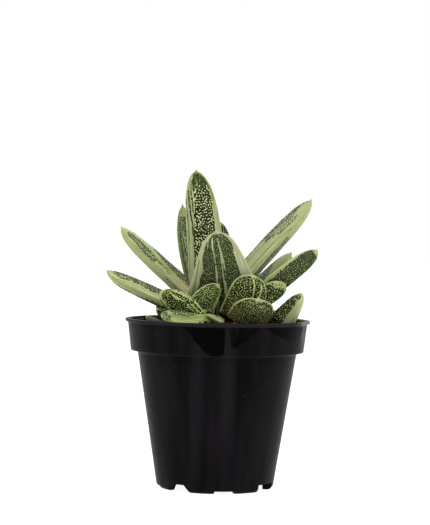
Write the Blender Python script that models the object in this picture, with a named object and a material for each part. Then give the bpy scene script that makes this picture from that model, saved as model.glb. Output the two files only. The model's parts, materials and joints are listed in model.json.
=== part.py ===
"""A potted gasteria: a clump of thick, warty, keeled leaves in a thin black nursery pot.

Metres, +Z up. The origin is the centre of the pot's underside and -Y is the front.
Leaves grow from five short stems that stand in plain holes in the soil.
"""

import math
from dataclasses import dataclass

import bmesh
import bpy
import numpy as np
from mathutils import Vector, noise

MM = 0.001
GAP = 0.3 * MM  # air left between pieces that rest on each other

# Finishes, each a colour and a roughness
POT_FINISH = ((0.012, 0.011, 0.012), 0.45)
SOIL_FINISH = ((0.03, 0.018, 0.012), 0.95)
STEM_FINISH = ((0.16, 0.12, 0.06), 0.7)
LEAF_FINISH = ((0.12, 0.2, 0.06), 0.4)

# Pot
POT_HEIGHT = 77.4 * MM
POT_WALL = 1.0 * MM
LIP_RADIUS = 42.5 * MM
LIP_HEIGHT = 1.2 * MM
COLLAR_TOP_RADIUS = 41.3 * MM
COLLAR_FOOT_RADIUS = 39.75 * MM
COLLAR_FOOT_Z = 62.9 * MM
BODY_TOP_RADIUS = 36.5 * MM
BODY_TOP_Z = 61.6 * MM
BODY_FOOT_RADIUS = 27.2 * MM
FOOT_RADIUS = 25.2 * MM
FOOT_INNER_RADIUS = 22.6 * MM
FOOT_ROUNDING = 3.2 * MM
FLOOR_RAISE = 3.8 * MM
PAD_RADIUS = 9.5 * MM
PAD_SLOPE = 3.0 * MM
POT_SIDES = 48
# Each notch: its middle in degrees from the front, and its half spans at the ground and at its top.
NOTCHES = ((-40.0, 16.0, 9.0), (61.0, 14.0, 14.0), (140.0, 16.0, 9.0), (241.0, 14.0, 14.0))
NOTCH_HEIGHT = 3.5 * MM
RECESSES = (10.0, 100.0, 190.0, 280.0)
RECESS_HALF_ANGLES = (12.0, 10.0)
RECESS_HEIGHT = 1.3 * MM
DRAIN_RADII = (14.5 * MM, 20.5 * MM)
DRAIN_HALF_ANGLES = (9.0, 9.0)

# Soil
SOIL_WALL_Z = 75.8 * MM
SOIL_MOUND = 1.3 * MM
SOIL_MOUND_RISE = 1.6  # how soon the mound rises from the wall; over 1 gives it a flat middle
SOIL_LUMP = 0.6 * MM
SOIL_LUMP_LENGTH = 6 * MM
SOIL_TOP_INSET = 0.3 * MM  # how much narrower the pot is at the soil's edge than at its lip
SOIL_RINGS = (8.0, 15.0, 21.0, 27.0, 32.0, 36.5)  # mm from the middle
SOIL_SIDES = 32

# Leaves
ROW_LENGTH = 5.0  # mm of leaf to each row of its surface
END_ROWS = 4  # rows added for the rounded ends
COLUMNS = ((15.0, 16), (8.0, 12), (0.0, 8))  # points round a leaf at least that many mm wide
SEAT_ROWS = 7
SEAT_COLUMNS = 8
SEAT_SLACK = 0.5 * MM
LOW_LEAF = 82.0  # mm; leaves with an end below this height press into the soil
EDGE = 1.05 * MM  # half the thickness of a leaf's rounded margin
ROW_CROWDING = 1.5  # over 1 sets the rows closer together towards the tip
# Powers that shape a leaf: its tip's outline, its margin's rounding and thinning, its keel's slopes
TIP_POWER = 0.6
MARGIN_POWER = 0.7
MARGIN_THINNING = 12
KEEL_POWER = 0.85
KEEL_ROUNDING = 0.06  # half width of the keel's rounded top, as a share of the leaf's
WART = 0.38 * MM
POINT = 1.3 * MM  # the short hard point at a leaf's tip


@dataclass(frozen=True)
class Leaf:
    """One leaf, in millimetres; its width runs at right angles to its face."""

    name: str
    base: tuple  # middle of its foot
    tip: tuple
    bow: tuple  # how far its middle is bent off the straight line
    face: tuple  # the way its upper side looks
    width: float
    depth: float  # from the upper side down to the keel
    keel: float = 0.0  # place of the keel across the leaf, -1 to 1
    flare: float = 0.2  # how much wider the foot is
    blunt: float = 4.0  # high for a round tip, low for a long taper
    hollow: float = 0.1  # how far the upper side sinks, as a share of depth


# Inner leaves first: each one presses its seat into those listed after it.
LEAVES = (
    Leaf("leaf_tall", base=(-4.2, 4, 79), tip=(-11.4, 8, 145.4), bow=(1.3, 0, 0),
         face=(-0.05, 1, 0), width=16, depth=5, keel=0.5, blunt=6),
    Leaf("leaf_front_wide", base=(3.2, -4, 81), tip=(-1.3, -24, 117.7), bow=(0.4, -2, 0),
         face=(0, 1, 0.5), width=20.4, depth=5, keel=-0.1, flare=1.2, blunt=5),
    Leaf("leaf_upright_left", base=(-4, 9, 80), tip=(-17.4, 14, 129.4), bow=(-2.5, 0, 0),
         face=(-0.2, -1, 0.2), width=9.2, depth=3.5),
    Leaf("leaf_upright_back", base=(1.5, 12, 80), tip=(-0.4, 18, 122.3), bow=(0.5, 0, 0),
         face=(0.1, -1, 0.2), width=11.5, depth=4, blunt=6),
    Leaf("leaf_right_upper", base=(0.5, 2, 84), tip=(41.8, -4, 132.6), bow=(-1.2, 0, 1.1),
         face=(-0.7, -0.45, 0.5), width=13, depth=4, keel=0.5, flare=0.05, blunt=7),
    Leaf("leaf_left_upper", base=(-5.8, 1, 84.3), tip=(-44.8, -4, 118.7), bow=(0, 0, 0.5),
         face=(0.63, -0.43, 0.64), width=10.5, depth=4, keel=-0.5, flare=0.4, blunt=5.5),
    Leaf("leaf_right_inner", base=(10, 6, 84), tip=(33.6, 8, 108.2), bow=(0, 0, 1),
         face=(-0.55, -0.4, 0.55), width=10, depth=3.5, keel=0.4, blunt=5),
    Leaf("leaf_right_lower", base=(9, -3, 77.5), tip=(44.8, -8, 109.8), bow=(-0.4, 0, 1.6),
         face=(-0.4, 0.77, 0.5), width=10.5, depth=4.5, keel=-0.3, blunt=9),
    Leaf("leaf_left_lower", base=(-10, -4, 81), tip=(-50.9, -10, 99), bow=(0, 0, 0),
         face=(0.37, -0.45, 0.8), width=9, depth=3.5, keel=-0.5, blunt=6),
    Leaf("leaf_back_left_upper", base=(-3, 9, 81), tip=(-9, 42, 117), bow=(0, 0, 1),
         face=(0, -0.6, 1), width=13, depth=4.5, keel=0.3),
    Leaf("leaf_back_right_upper", base=(4, 9, 81), tip=(8, 44, 100), bow=(0, 0, 2),
         face=(0, -0.4, 1), width=13, depth=4.5, keel=-0.3),
    Leaf("leaf_front_right", base=(10.2, -13, 79), tip=(15.2, -23, 98.6), bow=(0.2, -1, 0),
         face=(0.1, 1, 0.4), width=16.8, depth=5, keel=-0.4, blunt=6),
    Leaf("leaf_front_middle", base=(-9.5, -14, 79), tip=(0.1, -23, 94), bow=(-1.5, 0, 0),
         face=(-0.1, 1, 0.4), width=11.5, depth=4, keel=0.2, flare=0.3),
    Leaf("leaf_right_short", base=(13, -11, 84), tip=(30.3, -16, 94.6), bow=(0, 0, 0.6),
         face=(-0.35, 0.75, 0.5), width=11, depth=4, keel=-0.3, blunt=6),
    Leaf("leaf_front_left", base=(-6.5, -16, 77.3), tip=(-25.7, -25, 90.6), bow=(0, 0, 0),
         face=(0.1, 1, 0.6), width=13, depth=3.5, keel=-0.55, blunt=5),
    Leaf("leaf_front_round", base=(13.4, -17, 79), tip=(18, -33, 88.4), bow=(0, 0, 0),
         face=(0, 1, 1.2), width=19, depth=4.5, flare=0),
    Leaf("leaf_front_left_low", base=(-4, -21, 80.5), tip=(-25.2, -27, 80.8), bow=(-1, -3, -1.5),
         face=(0.2, -0.6, 0.8), width=9.5, depth=3, blunt=6),
    Leaf("leaf_front_bud", base=(-2.5, -22, 79.3), tip=(1.5, -35, 77.8), bow=(0, 0, 1),
         face=(0.4, -0.3, 1), width=6, depth=2.5),
    Leaf("leaf_right_low", base=(29, -10, 77), tip=(38, -14, 90.4), bow=(0, 0, 0),
         face=(-0.1, 1, 0.3), width=8.6, depth=3.5, keel=-0.4, flare=0.4, blunt=3),
    Leaf("leaf_left_short", base=(-12, -4, 79.5), tip=(-28.2, -8, 82.8), bow=(0, 0, 0),
         face=(0.2, -0.3, 1), width=11, depth=3.5, blunt=8),
    Leaf("leaf_soil_left", base=(-22.5, -22, 75.8), tip=(-32.2, -23, 79.6), bow=(0, 0, -0.5),
         face=(0.4, 0.2, 1), width=4.4, depth=2.2, blunt=2.5),
    Leaf("leaf_back_left", base=(-8, 11, 81), tip=(-19, 33, 89), bow=(0, 0, 2),
         face=(0.2, -0.3, 1), width=12, depth=4.5, keel=0.3),
    Leaf("leaf_back_right", base=(9, 11, 81), tip=(19, 34, 90), bow=(0, 0, 2),
         face=(-0.2, -0.3, 1), width=12, depth=4.5, keel=-0.3),
    Leaf("leaf_back_middle", base=(1, 20, 79), tip=(3, 38, 87), bow=(0, 0, 2),
         face=(0, -0.4, 1), width=14, depth=4, keel=0.2),
    Leaf("leaf_back_left_low", base=(-4, 18, 79), tip=(-22, 30, 81), bow=(0, 0, 1),
         face=(0.2, -0.2, 1), width=10, depth=3.5, keel=0.2),
    Leaf("leaf_back_right_low", base=(5, 18, 79), tip=(25, 27, 81), bow=(0, 0, 1),
         face=(-0.2, -0.2, 1), width=10, depth=3.5, keel=-0.2),
    Leaf("leaf_left_back", base=(-12, 6, 79), tip=(-26.5, 14, 83), bow=(0, 0, 1),
         face=(0.3, 0, 1), width=10, depth=3.5, keel=0.2),
    Leaf("leaf_right_back", base=(12, 5, 79), tip=(27, 14, 80.5), bow=(0, 0, 1),
         face=(-0.3, 0, 1), width=10, depth=3.5, keel=-0.2),
)


@dataclass(frozen=True)
class Stem:
    """One short stem, in millimetres."""

    name: str
    place: tuple
    radius: float
    foot: float
    head: float


STEMS = (
    Stem("stem_main", (0, 3), 6.5, 62, 85),
    Stem("stem_front_left", (-7, -16), 3.0, 66, 80),
    Stem("stem_front_right", (11, -14), 3.5, 66, 81),
    Stem("stem_right", (27, -8), 2.5, 66, 79),
    Stem("stem_back", (1, 18), 3.5, 66, 81),
)


def clear_scene():
    for thing in list(bpy.data.objects):
        bpy.data.objects.remove(thing, do_unlink=True)


def material(name, colour, roughness):
    made = bpy.data.materials.new(name)
    made.use_nodes = True
    shader = made.node_tree.nodes["Principled BSDF"]
    shader.inputs["Base Color"].default_value = (*colour, 1.0)
    shader.inputs["Roughness"].default_value = roughness
    shader.inputs["Metallic"].default_value = 0.0
    return made


def add_object(name, mesh, finish):
    """Link a mesh to the scene as a smooth-shaded object."""
    mesh.materials.append(finish)
    mesh.shade_smooth()
    mesh.set_sharp_from_angle(angle=math.radians(40))
    made = bpy.data.objects.new(name, mesh)
    bpy.context.scene.collection.objects.link(made)
    return made


def add_shape(name, bm, finish):
    """Link a finished shape."""
    mesh = bpy.data.meshes.new(name)
    bm.to_mesh(mesh)
    bm.free()
    return add_object(name, mesh, finish)


def add_cutter(name, bm):
    """Link a shape that only cuts others."""
    mesh = bpy.data.meshes.new(name)
    bm.to_mesh(mesh)
    bm.free()
    made = bpy.data.objects.new(name, mesh)
    made.hide_render = True
    made.display_type = "WIRE"
    bpy.context.scene.collection.objects.link(made)
    return made


def largest_body(bm):
    """Delete every separate body of a mesh but its largest one."""
    bodies = []
    unseen = set(bm.verts)
    while unseen:
        body = {unseen.pop()}
        edge_of_body = list(body)
        while edge_of_body:
            vert = edge_of_body.pop()
            for edge in vert.link_edges:
                other = edge.other_vert(vert)
                if other in unseen:
                    unseen.remove(other)
                    body.add(other)
                    edge_of_body.append(other)
        bodies.append(body)
    bodies.sort(key=len)
    scraps = [vert for body in bodies[:-1] for vert in body]
    bmesh.ops.delete(bm, geom=scraps, context="VERTS")


def cut(target, cutters):
    """Bake an object's modifiers and take the cutters' shapes out of it, keeping its largest body."""
    group = bpy.data.collections.new("cutters")
    bpy.context.scene.collection.children.link(group)
    for cutter in cutters:
        group.objects.link(cutter)
    boolean = target.modifiers.new("cut", "BOOLEAN")
    boolean.operation = "DIFFERENCE"
    boolean.operand_type = "COLLECTION"
    boolean.collection = group
    bpy.context.view_layer.update()
    evaluated = target.evaluated_get(bpy.context.evaluated_depsgraph_get())
    bm = bmesh.new()
    bm.from_mesh(evaluated.to_mesh())
    evaluated.to_mesh_clear()
    target.modifiers.clear()
    bpy.data.collections.remove(group)
    largest_body(bm)
    bm.to_mesh(target.data)
    bm.free()


def turned(name, profile, finish, sides):
    """Turn a profile of (radius, height) points, given top to bottom on its outer side, round Z."""
    mesh = bpy.data.meshes.new(name)
    points = [(radius, 0.0, height) for radius, height in profile]
    mesh.from_pydata(points, [(i, i + 1) for i in range(len(points) - 1)], [])
    made = add_object(name, mesh, finish)
    screw = made.modifiers.new("turn", "SCREW")
    screw.steps = sides
    screw.render_steps = sides
    screw.use_merge_vertices = True
    screw.merge_threshold = 0.00001
    return made


def remove_cutters():
    for thing in list(bpy.data.objects):
        if thing.display_type == "WIRE":
            bpy.data.objects.remove(thing, do_unlink=True)


def polar(radius, degrees, height):
    """A point by its distance and its angle from the front."""
    turn = math.radians(degrees)
    return Vector((radius * math.sin(turn), -radius * math.cos(turn), height))


def add_wedge(name, middle, half_angles, radii, heights):
    """A cutter like a slice of a ring; half_angles are its half spans at the bottom and the top."""
    bm = bmesh.new()
    corners = []
    for height, half in zip(heights, half_angles):
        for radius in radii:
            for side in (-1, 1):
                corners.append(bm.verts.new(polar(radius, middle + side * half, height)))
    bmesh.ops.convex_hull(bm, input=corners)
    return add_cutter(name, bm)


def foot_arc():
    """The rounded corner from the pot's body down to its foot, as (radius, height) points."""
    points = []
    for step in range(1, 4):
        turn = math.radians(30 * step)
        radius = FOOT_RADIUS + (BODY_FOOT_RADIUS - FOOT_RADIUS) * math.cos(turn)
        points.append((radius, FOOT_ROUNDING * (1 - math.sin(turn))))
    return points


def make_pot(finish):
    """A thin moulded pot: lip, collar, shoulder, tapered body, four feet and a raised floor."""
    floor_top = FLOOR_RAISE + POT_WALL
    inside = [
        (0.0, POT_WALL),
        (PAD_RADIUS - POT_WALL / 2, POT_WALL),
        (PAD_RADIUS + PAD_SLOPE - POT_WALL / 2, floor_top),
        (BODY_FOOT_RADIUS - POT_WALL, floor_top),
        (BODY_TOP_RADIUS - POT_WALL, BODY_TOP_Z + POT_WALL),
        (COLLAR_FOOT_RADIUS - POT_WALL, COLLAR_FOOT_Z + POT_WALL),
        (COLLAR_TOP_RADIUS - POT_WALL, POT_HEIGHT - POT_WALL / 3),
        (COLLAR_TOP_RADIUS - POT_WALL * 2 / 3, POT_HEIGHT),
    ]
    outside = [
        (LIP_RADIUS - POT_WALL / 3, POT_HEIGHT),
        (LIP_RADIUS, POT_HEIGHT - POT_WALL / 3),
        (LIP_RADIUS, POT_HEIGHT - LIP_HEIGHT),
        (COLLAR_TOP_RADIUS, POT_HEIGHT - LIP_HEIGHT - POT_WALL / 3),
        (COLLAR_FOOT_RADIUS, COLLAR_FOOT_Z + POT_WALL / 2),
        (COLLAR_FOOT_RADIUS - POT_WALL / 2, COLLAR_FOOT_Z),
        (BODY_TOP_RADIUS, BODY_TOP_Z),
        (BODY_FOOT_RADIUS, FOOT_ROUNDING),
    ]
    underside = [
        (FOOT_INNER_RADIUS, 0.0),
        (FOOT_INNER_RADIUS, FLOOR_RAISE),
        (PAD_RADIUS + PAD_SLOPE, FLOOR_RAISE),
        (PAD_RADIUS, 0.0),
        (0.0, 0.0),
    ]
    pot = turned("pot", inside + outside + foot_arc() + underside, finish, POT_SIDES)
    below = -1 * MM
    cutters = []
    ring = (FOOT_INNER_RADIUS - 1 * MM, BODY_FOOT_RADIUS + 2 * MM)
    through = (FLOOR_RAISE - 1 * MM, floor_top + 1 * MM)
    for middle, *half_angles in NOTCHES:
        cutters.append(add_wedge("notch", middle, half_angles, ring, (below, NOTCH_HEIGHT)))
        cutters.append(add_wedge("drain", middle, DRAIN_HALF_ANGLES, DRAIN_RADII, through))
    for middle in RECESSES:
        cutters.append(add_wedge("recess", middle, RECESS_HALF_ANGLES, ring, (below, RECESS_HEIGHT)))
    cut(pot, cutters)


def soil_height(x, y):
    """Height of the soil's lumpy top at a place."""
    nearness = max(0.0, 1 - math.hypot(x, y) / (COLLAR_TOP_RADIUS - POT_WALL))
    lump = noise.noise(Vector((x, y, 0.0)) / SOIL_LUMP_LENGTH)
    return SOIL_WALL_Z + SOIL_MOUND * min(1.0, SOIL_MOUND_RISE * nearness) + SOIL_LUMP * lump


def make_soil(finish):
    """The soil, filling the pot to just below its rim, with a lumpy top."""
    floor = FLOOR_RAISE + POT_WALL + GAP
    slack = POT_WALL + GAP
    sides = [
        (BODY_FOOT_RADIUS - slack, floor),
        (BODY_TOP_RADIUS - slack, BODY_TOP_Z + POT_WALL),
        (COLLAR_FOOT_RADIUS - slack, COLLAR_FOOT_Z + POT_WALL + GAP),
        (COLLAR_TOP_RADIUS - SOIL_TOP_INSET - slack, None),
    ]
    underside = [(PAD_RADIUS - POT_WALL / 2 - GAP, POT_WALL + GAP), (PAD_RADIUS + PAD_SLOPE - slack, floor)]
    top = [(radius * MM, None) for radius in reversed(SOIL_RINGS)]
    rings = underside + sides + top
    bm = bmesh.new()
    loops = []
    for radius, height in rings:
        loop = []
        for side in range(SOIL_SIDES):
            place = polar(radius, 360 * side / SOIL_SIDES, 0.0)
            place.z = soil_height(place.x, place.y) if height is None else height
            loop.append(bm.verts.new(place))
        loops.append(loop)
    for low, high in zip(loops, loops[1:]):
        for i in range(SOIL_SIDES):
            j = (i + 1) % SOIL_SIDES
            bm.faces.new((low[i], low[j], high[j], high[i]))
    bm.faces.new(reversed(loops[0]))
    middle = bm.verts.new((0.0, 0.0, soil_height(0.0, 0.0)))
    for i in range(SOIL_SIDES):
        bm.faces.new((loops[-1][i], loops[-1][(i + 1) % SOIL_SIDES], middle))
    bmesh.ops.triangulate(bm, faces=bm.faces[:])
    return add_shape("soil", bm, finish)


def stem_shape(stem, grow):
    """A plain round column, larger all round by grow."""
    bm = bmesh.new()
    height = (stem.head - stem.foot) * MM + 2 * grow
    radius = stem.radius * MM + grow
    bmesh.ops.create_cone(bm, cap_ends=True, segments=16, radius1=radius, radius2=radius, depth=height)
    middle = Vector((stem.place[0] * MM, stem.place[1] * MM, (stem.foot + stem.head) / 2 * MM))
    bmesh.ops.translate(bm, verts=bm.verts, vec=middle)
    return bm


def unit(vectors):
    return vectors / np.linalg.norm(vectors, axis=-1, keepdims=True)


def outline(leaf, along):
    """Half width of a leaf as a share of its nominal one, from foot (0) to tip (1)."""
    return (1 + leaf.flare * (1 - along) ** 2) * (1 - along**leaf.blunt) ** TIP_POWER


def leaf_grid(leaf, along, turn):
    """Points on a leaf for places along it and angles round it; 0 is its right margin, a half
    turn its left one, and the angles between them lie on its upper side."""
    base, tip, bow = (np.array(v, dtype=float) * MM for v in (leaf.base, leaf.tip, leaf.bow))
    bend = (base + tip) / 2 + 2 * bow
    t = along[:, None]
    middle = (1 - t) ** 2 * base + 2 * t * (1 - t) * bend + t**2 * tip
    ahead = unit((1 - t) * (bend - base) + t * (tip - bend))
    side = unit(np.cross(ahead, np.array(leaf.face, dtype=float)))
    up = np.cross(side, ahead)

    half = leaf.width / 2 * MM * outline(leaf, along)[:, None]
    depth = leaf.depth * MM * ((1 - along**leaf.blunt) ** TIP_POWER)[:, None]
    edge = EDGE * (1 - along**MARGIN_THINNING)[:, None]
    cos, sin = np.cos(turn)[None, :], np.sin(turn)[None, :]
    across_keel = (cos + leaf.keel) / (1 + leaf.keel * cos)
    across = np.where(sin > 0, cos, across_keel)
    from_keel = np.sqrt((across - leaf.keel) ** 2 + KEEL_ROUNDING**2) - KEEL_ROUNDING
    reach = 1 - leaf.keel * np.sign(across - leaf.keel)
    ridge = np.clip(1 - from_keel / reach, 0, 1) ** KEEL_POWER
    rounding = edge * np.abs(sin) ** MARGIN_POWER
    above = rounding - leaf.hollow * depth * (1 - across**2)
    below = -rounding - depth * ridge
    height = np.where(sin > 0, above, below)
    return (
        middle[:, None, :]
        + side[:, None, :] * (half * across)[:, :, None]
        + up[:, None, :] * height[:, :, None]
    )


def leaf_shape(leaf, grow, rows=None, columns=None, warty=False):
    """A closed leaf, larger all round by grow, with warts raised on its broad sides if warty."""
    length = np.linalg.norm(np.subtract(leaf.tip, leaf.base))
    rows = rows or END_ROWS + round(length / ROW_LENGTH)
    columns = columns or next(count for width, count in COLUMNS if leaf.width >= width)
    steps = 1 - (1 - np.arange(rows) / rows) ** ROW_CROWDING
    turn = 2 * math.pi * np.arange(columns) / columns
    points = leaf_grid(leaf, steps, turn)
    tip = np.array(leaf.tip) * MM
    ahead = unit(tip - points[-1].mean(axis=0))
    bm = bmesh.new()
    rings = [[bm.verts.new(point) for point in ring] for ring in points]
    for low, high in zip(rings, rings[1:]):
        for i in range(columns):
            j = (i + 1) % columns
            bm.faces.new((low[i], high[i], high[j], low[j]))
    point = bm.verts.new(tip + ahead * POINT)
    for i in range(columns):
        bm.faces.new((rings[-1][i], point, rings[-1][(i + 1) % columns]))
    bm.faces.new(rings[0])
    bm.normal_update()
    if warty:
        raise_warts(rings, columns)
    if grow:
        for vert in bm.verts:
            vert.co += vert.normal * grow * vert.calc_shell_factor()
    bmesh.ops.triangulate(bm, faces=bm.faces[:])
    return bm


def raise_warts(rings, columns):
    """Lift every second point of the broad sides, leaving margins, keel and tip smooth."""
    smooth = (0, columns // 2, 3 * columns // 4)
    for row, ring in enumerate(rings[1:-2]):
        for column, vert in enumerate(ring):
            if (row + column) % 2 == 0 and column not in smooth:
                vert.co += vert.normal * WART


def make_leaves(stem_seats):
    """Every leaf, each one hollowed where the stems and the leaves inside it press on it."""
    seats = list(stem_seats)
    for leaf in LEAVES:
        finish = material(leaf.name, *LEAF_FINISH)
        made = add_shape(leaf.name, leaf_shape(leaf, 0.0, warty=True), finish)
        cut(made, seats)
        seats.append(add_cutter("seat_" + leaf.name, leaf_shape(leaf, GAP + WART)))


def leaf_hollows():
    """Plain cutters, a little larger than the low leaves, that leave room for them in the soil."""
    grow = GAP + WART + SEAT_SLACK
    low = [leaf for leaf in LEAVES if min(leaf.base[2], leaf.tip[2]) < LOW_LEAF]
    shapes = [leaf_shape(leaf, grow, SEAT_ROWS, SEAT_COLUMNS) for leaf in low]
    return [add_cutter("hollow_" + leaf.name, shape) for leaf, shape in zip(low, shapes)]


def make_stems():
    """Every stem, and the plain hole that each one stands in."""
    holes = []
    for stem in STEMS:
        add_shape(stem.name, stem_shape(stem, 0.0), material(stem.name, *STEM_FINISH))
        holes.append(add_cutter("hole_" + stem.name, stem_shape(stem, GAP)))
    return holes


def main():
    clear_scene()
    make_pot(material("pot", *POT_FINISH))
    soil = make_soil(material("soil", *SOIL_FINISH))
    holes = make_stems()
    cut(soil, holes + leaf_hollows())
    make_leaves(holes)
    remove_cutters()


main()
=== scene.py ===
# %% [markdown]
# # A potted gasteria
# Gasterias are small succulents from shady ground. Their thick leaves are dark green, covered with
# raised white warts, and this one is variegated: whole strips of each leaf have no green in them
# and stay cream. The model has three kinds of surface to get right: the leaves, the peat and the
# pot. The solids of the part are loaded as a fixed frame, and each piece below takes the place of
# one.

# %% Load the frame
import json
import math
from dataclasses import dataclass

import bmesh
import bpy
import numpy as np
from mathutils import Matrix, Vector, noise
from mathutils.bvhtree import BVHTree

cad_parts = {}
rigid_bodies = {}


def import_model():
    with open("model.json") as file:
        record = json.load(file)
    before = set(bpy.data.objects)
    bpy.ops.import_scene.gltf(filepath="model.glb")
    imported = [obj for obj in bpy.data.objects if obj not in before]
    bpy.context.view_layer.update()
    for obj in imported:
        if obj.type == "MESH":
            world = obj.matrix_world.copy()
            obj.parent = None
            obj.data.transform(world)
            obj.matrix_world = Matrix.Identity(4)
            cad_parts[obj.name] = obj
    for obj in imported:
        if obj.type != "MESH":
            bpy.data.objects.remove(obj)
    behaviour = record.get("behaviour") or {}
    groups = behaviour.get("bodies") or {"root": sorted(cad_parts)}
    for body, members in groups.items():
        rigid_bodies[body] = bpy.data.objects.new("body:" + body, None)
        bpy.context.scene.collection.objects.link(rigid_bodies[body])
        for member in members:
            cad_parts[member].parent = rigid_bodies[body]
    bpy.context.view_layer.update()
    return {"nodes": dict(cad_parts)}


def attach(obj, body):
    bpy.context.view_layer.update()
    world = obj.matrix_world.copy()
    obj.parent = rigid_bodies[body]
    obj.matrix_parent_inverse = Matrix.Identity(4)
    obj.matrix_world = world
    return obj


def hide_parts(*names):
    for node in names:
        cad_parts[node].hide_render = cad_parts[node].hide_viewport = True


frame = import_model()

MM = 0.001

# %% [markdown]
# The camera comes first, because everything after it is judged through it. It stands 0.9 m away
# with a long lens, slightly above the rim of the pot, and it is rolled by one degree, as a
# hand-held camera would be. Standard view transform keeps the white of the studio white.

# %% Camera
EYE = Vector((-1.73, -900, 121)) * MM
AIM = Vector((-1.73, 0, 103.5)) * MM
ROLL = math.radians(1.05)
LENS = 134.0

camera = bpy.data.objects.new("camera", bpy.data.cameras.new("camera"))
bpy.context.scene.collection.objects.link(camera)
camera.data.sensor_width = 36
camera.data.lens = LENS
camera.data.clip_start = 0.01
camera.location = EYE
camera.rotation_euler = ((AIM - EYE).to_track_quat("-Z", "Y").to_matrix()
                         @ Matrix.Rotation(ROLL, 3, "Z")).to_euler()
bpy.context.scene.camera = camera
bpy.context.scene.view_settings.view_transform = "Standard"
print("camera", [round(v / MM) for v in camera.location])

# %% [markdown]
# A few small helpers make every node tree below shorter. `add` makes one node and fills its inputs,
# each with a value or with the output of another node. `colour` turns a web colour, which is how a
# colour is read off a photograph, into the linear values that the shaders expect.

# %% Node helpers
def plug(tree, socket, value):
    """Fill an input with a value, with an output, or with the first output of a node."""
    if isinstance(value, bpy.types.Node):
        value = next(s for s in value.outputs if s.enabled)
    if isinstance(value, bpy.types.NodeSocket):
        tree.links.new(value, socket)
    else:
        socket.default_value = value


def add(tree, kind, inputs=None, **settings):
    """Add a node to a tree; its inputs go by name or number."""
    made = tree.nodes.new(kind)
    for name, value in settings.items():
        setattr(made, name, value)
    for name, value in (inputs or {}).items():
        fits = [s for s in made.inputs if s.name == name and s.enabled]
        plug(tree, made.inputs[name] if isinstance(name, int) else fits[0], value)
    return made


def calc(tree, operation, *values):
    return add(tree, "ShaderNodeMath", dict(enumerate(values)), operation=operation)


def product(tree, first, *others):
    for other in others:
        first = calc(tree, "MULTIPLY", first, other)
    return first


def remap(tree, value, low, high, to_low=0.0, to_high=1.0):
    """Spread the values from low to high over another range, which they don't leave."""
    inputs = {"Value": value, "From Min": low, "From Max": high,
              "To Min": to_low, "To Max": to_high}
    return add(tree, "ShaderNodeMapRange", inputs, clamp=True)


def colour(web):
    values = [int(web[i:i + 2], 16) / 255 for i in (1, 3, 5)]
    return [v / 12.92 if v <= 0.04045 else ((v + 0.055) / 1.055) ** 2.4 for v in values] + [1.0]


def blend(tree, factor, first, second):
    """Mix two colours, each a web colour or a node."""
    first, second = (colour(c) if isinstance(c, str) else c for c in (first, second))
    return add(tree, "ShaderNodeMix", {"Factor": factor, "A": first, "B": second}, data_type="RGBA")


def lay_over(tree, base, *layers):
    """Lay web colours over a base in turn, each given after how much it covers."""
    for cover, web in layers:
        base = blend(tree, cover, base, web)
    return base


print("a middle grey is", round(colour("#808080")[0], 3), "of white in linear light")

# %% [markdown]
# Every material here is one Principled BSDF. What is the same all over a surface is set on its own
# sockets, its colour comes from noise in the piece's own space or UV map, and its finest relief is
# bump.

# %% Material helpers
def new_material(name, **sockets):
    """A material, its node tree and its shader, with plain values on the shader's own sockets."""
    made = bpy.data.materials.new(name)
    made.use_nodes = True
    shader = made.node_tree.nodes["Principled BSDF"]
    for socket, value in sockets.items():
        shader.inputs[socket.replace("_", " ")].default_value = value
    return made, made.node_tree, shader


def place_in_piece(tree, *scale):
    """The place in the piece in metres, stretched by three scales where they are given."""
    place = add(tree, "ShaderNodeTexCoord").outputs["Object"]
    return add(tree, "ShaderNodeMapping", {"Vector": place, "Scale": scale}) if scale else place


def lumps(tree, place, scale, **inputs):
    """Noise from 0 to 1, with so many lumps to a metre."""
    inputs = {"Vector": place, "Scale": scale, **inputs}
    return add(tree, "ShaderNodeTexNoise", inputs).outputs["Fac"]


def stored(tree, name):
    """The number that the mesh stores under a name."""
    return add(tree, "ShaderNodeAttribute", attribute_name=name).outputs["Fac"]


def dress(tree, shader, base, relief, strength, depth):
    """Give a shader its base colour, and bump from a relief of some depth in metres."""
    plug(tree, shader.inputs["Base Color"], base)
    bump = add(tree, "ShaderNodeBump", {"Height": relief, "Strength": strength, "Distance": depth})
    plug(tree, shader.inputs["Normal"], bump)


# %% [markdown]
# Every mesh is built where it belongs, in metres. What a material or a node tree has to know about
# its points is stored on them under a name, and what a modifier makes is baked.

# %% Mesh helpers
def mesh_piece(name, points, faces, material):
    """A smooth-shaded object at the origin from points in metres."""
    mesh = bpy.data.meshes.new(name)
    mesh.from_pydata(points, [], faces)
    mesh.shade_smooth()
    mesh.materials.append(material)
    made = bpy.data.objects.new(name, mesh)
    bpy.context.scene.collection.objects.link(made)
    return made


def store(mesh, name, kind, values):
    """Put a value for each point on a mesh, where materials and node trees can read it."""
    part = "color" if kind == "FLOAT_COLOR" else "value"
    values = np.asarray(values, dtype=np.float32).ravel()
    mesh.attributes.new(name, kind, "POINT").data.foreach_set(part, values)


def bake_modifiers(piece):
    """Swap a piece's mesh for its evaluated one and clear its modifiers."""
    evaluated = piece.evaluated_get(bpy.context.evaluated_depsgraph_get())
    mesh = bpy.data.meshes.new_from_object(evaluated)
    piece.modifiers.clear()
    piece.data = mesh
    return len(mesh.polygons)


# %% [markdown]
# Each leaf is described by where it starts and ends, how it bows, which way its upper side looks
# and how wide and deep it is. These are the values of the part's own leaves, so the fine leaf lies
# exactly where the solid one does.

# %% The leaves
@dataclass(frozen=True)
class Leaf:
    """One leaf, in millimetres."""

    name: str
    base: tuple
    tip: tuple
    bow: tuple
    face: tuple
    width: float
    depth: float
    keel: float = 0.0
    flare: float = 0.2
    blunt: float = 4.0
    hollow: float = 0.1

    @property
    def length(self):
        return math.dist(self.base, self.tip)


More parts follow.
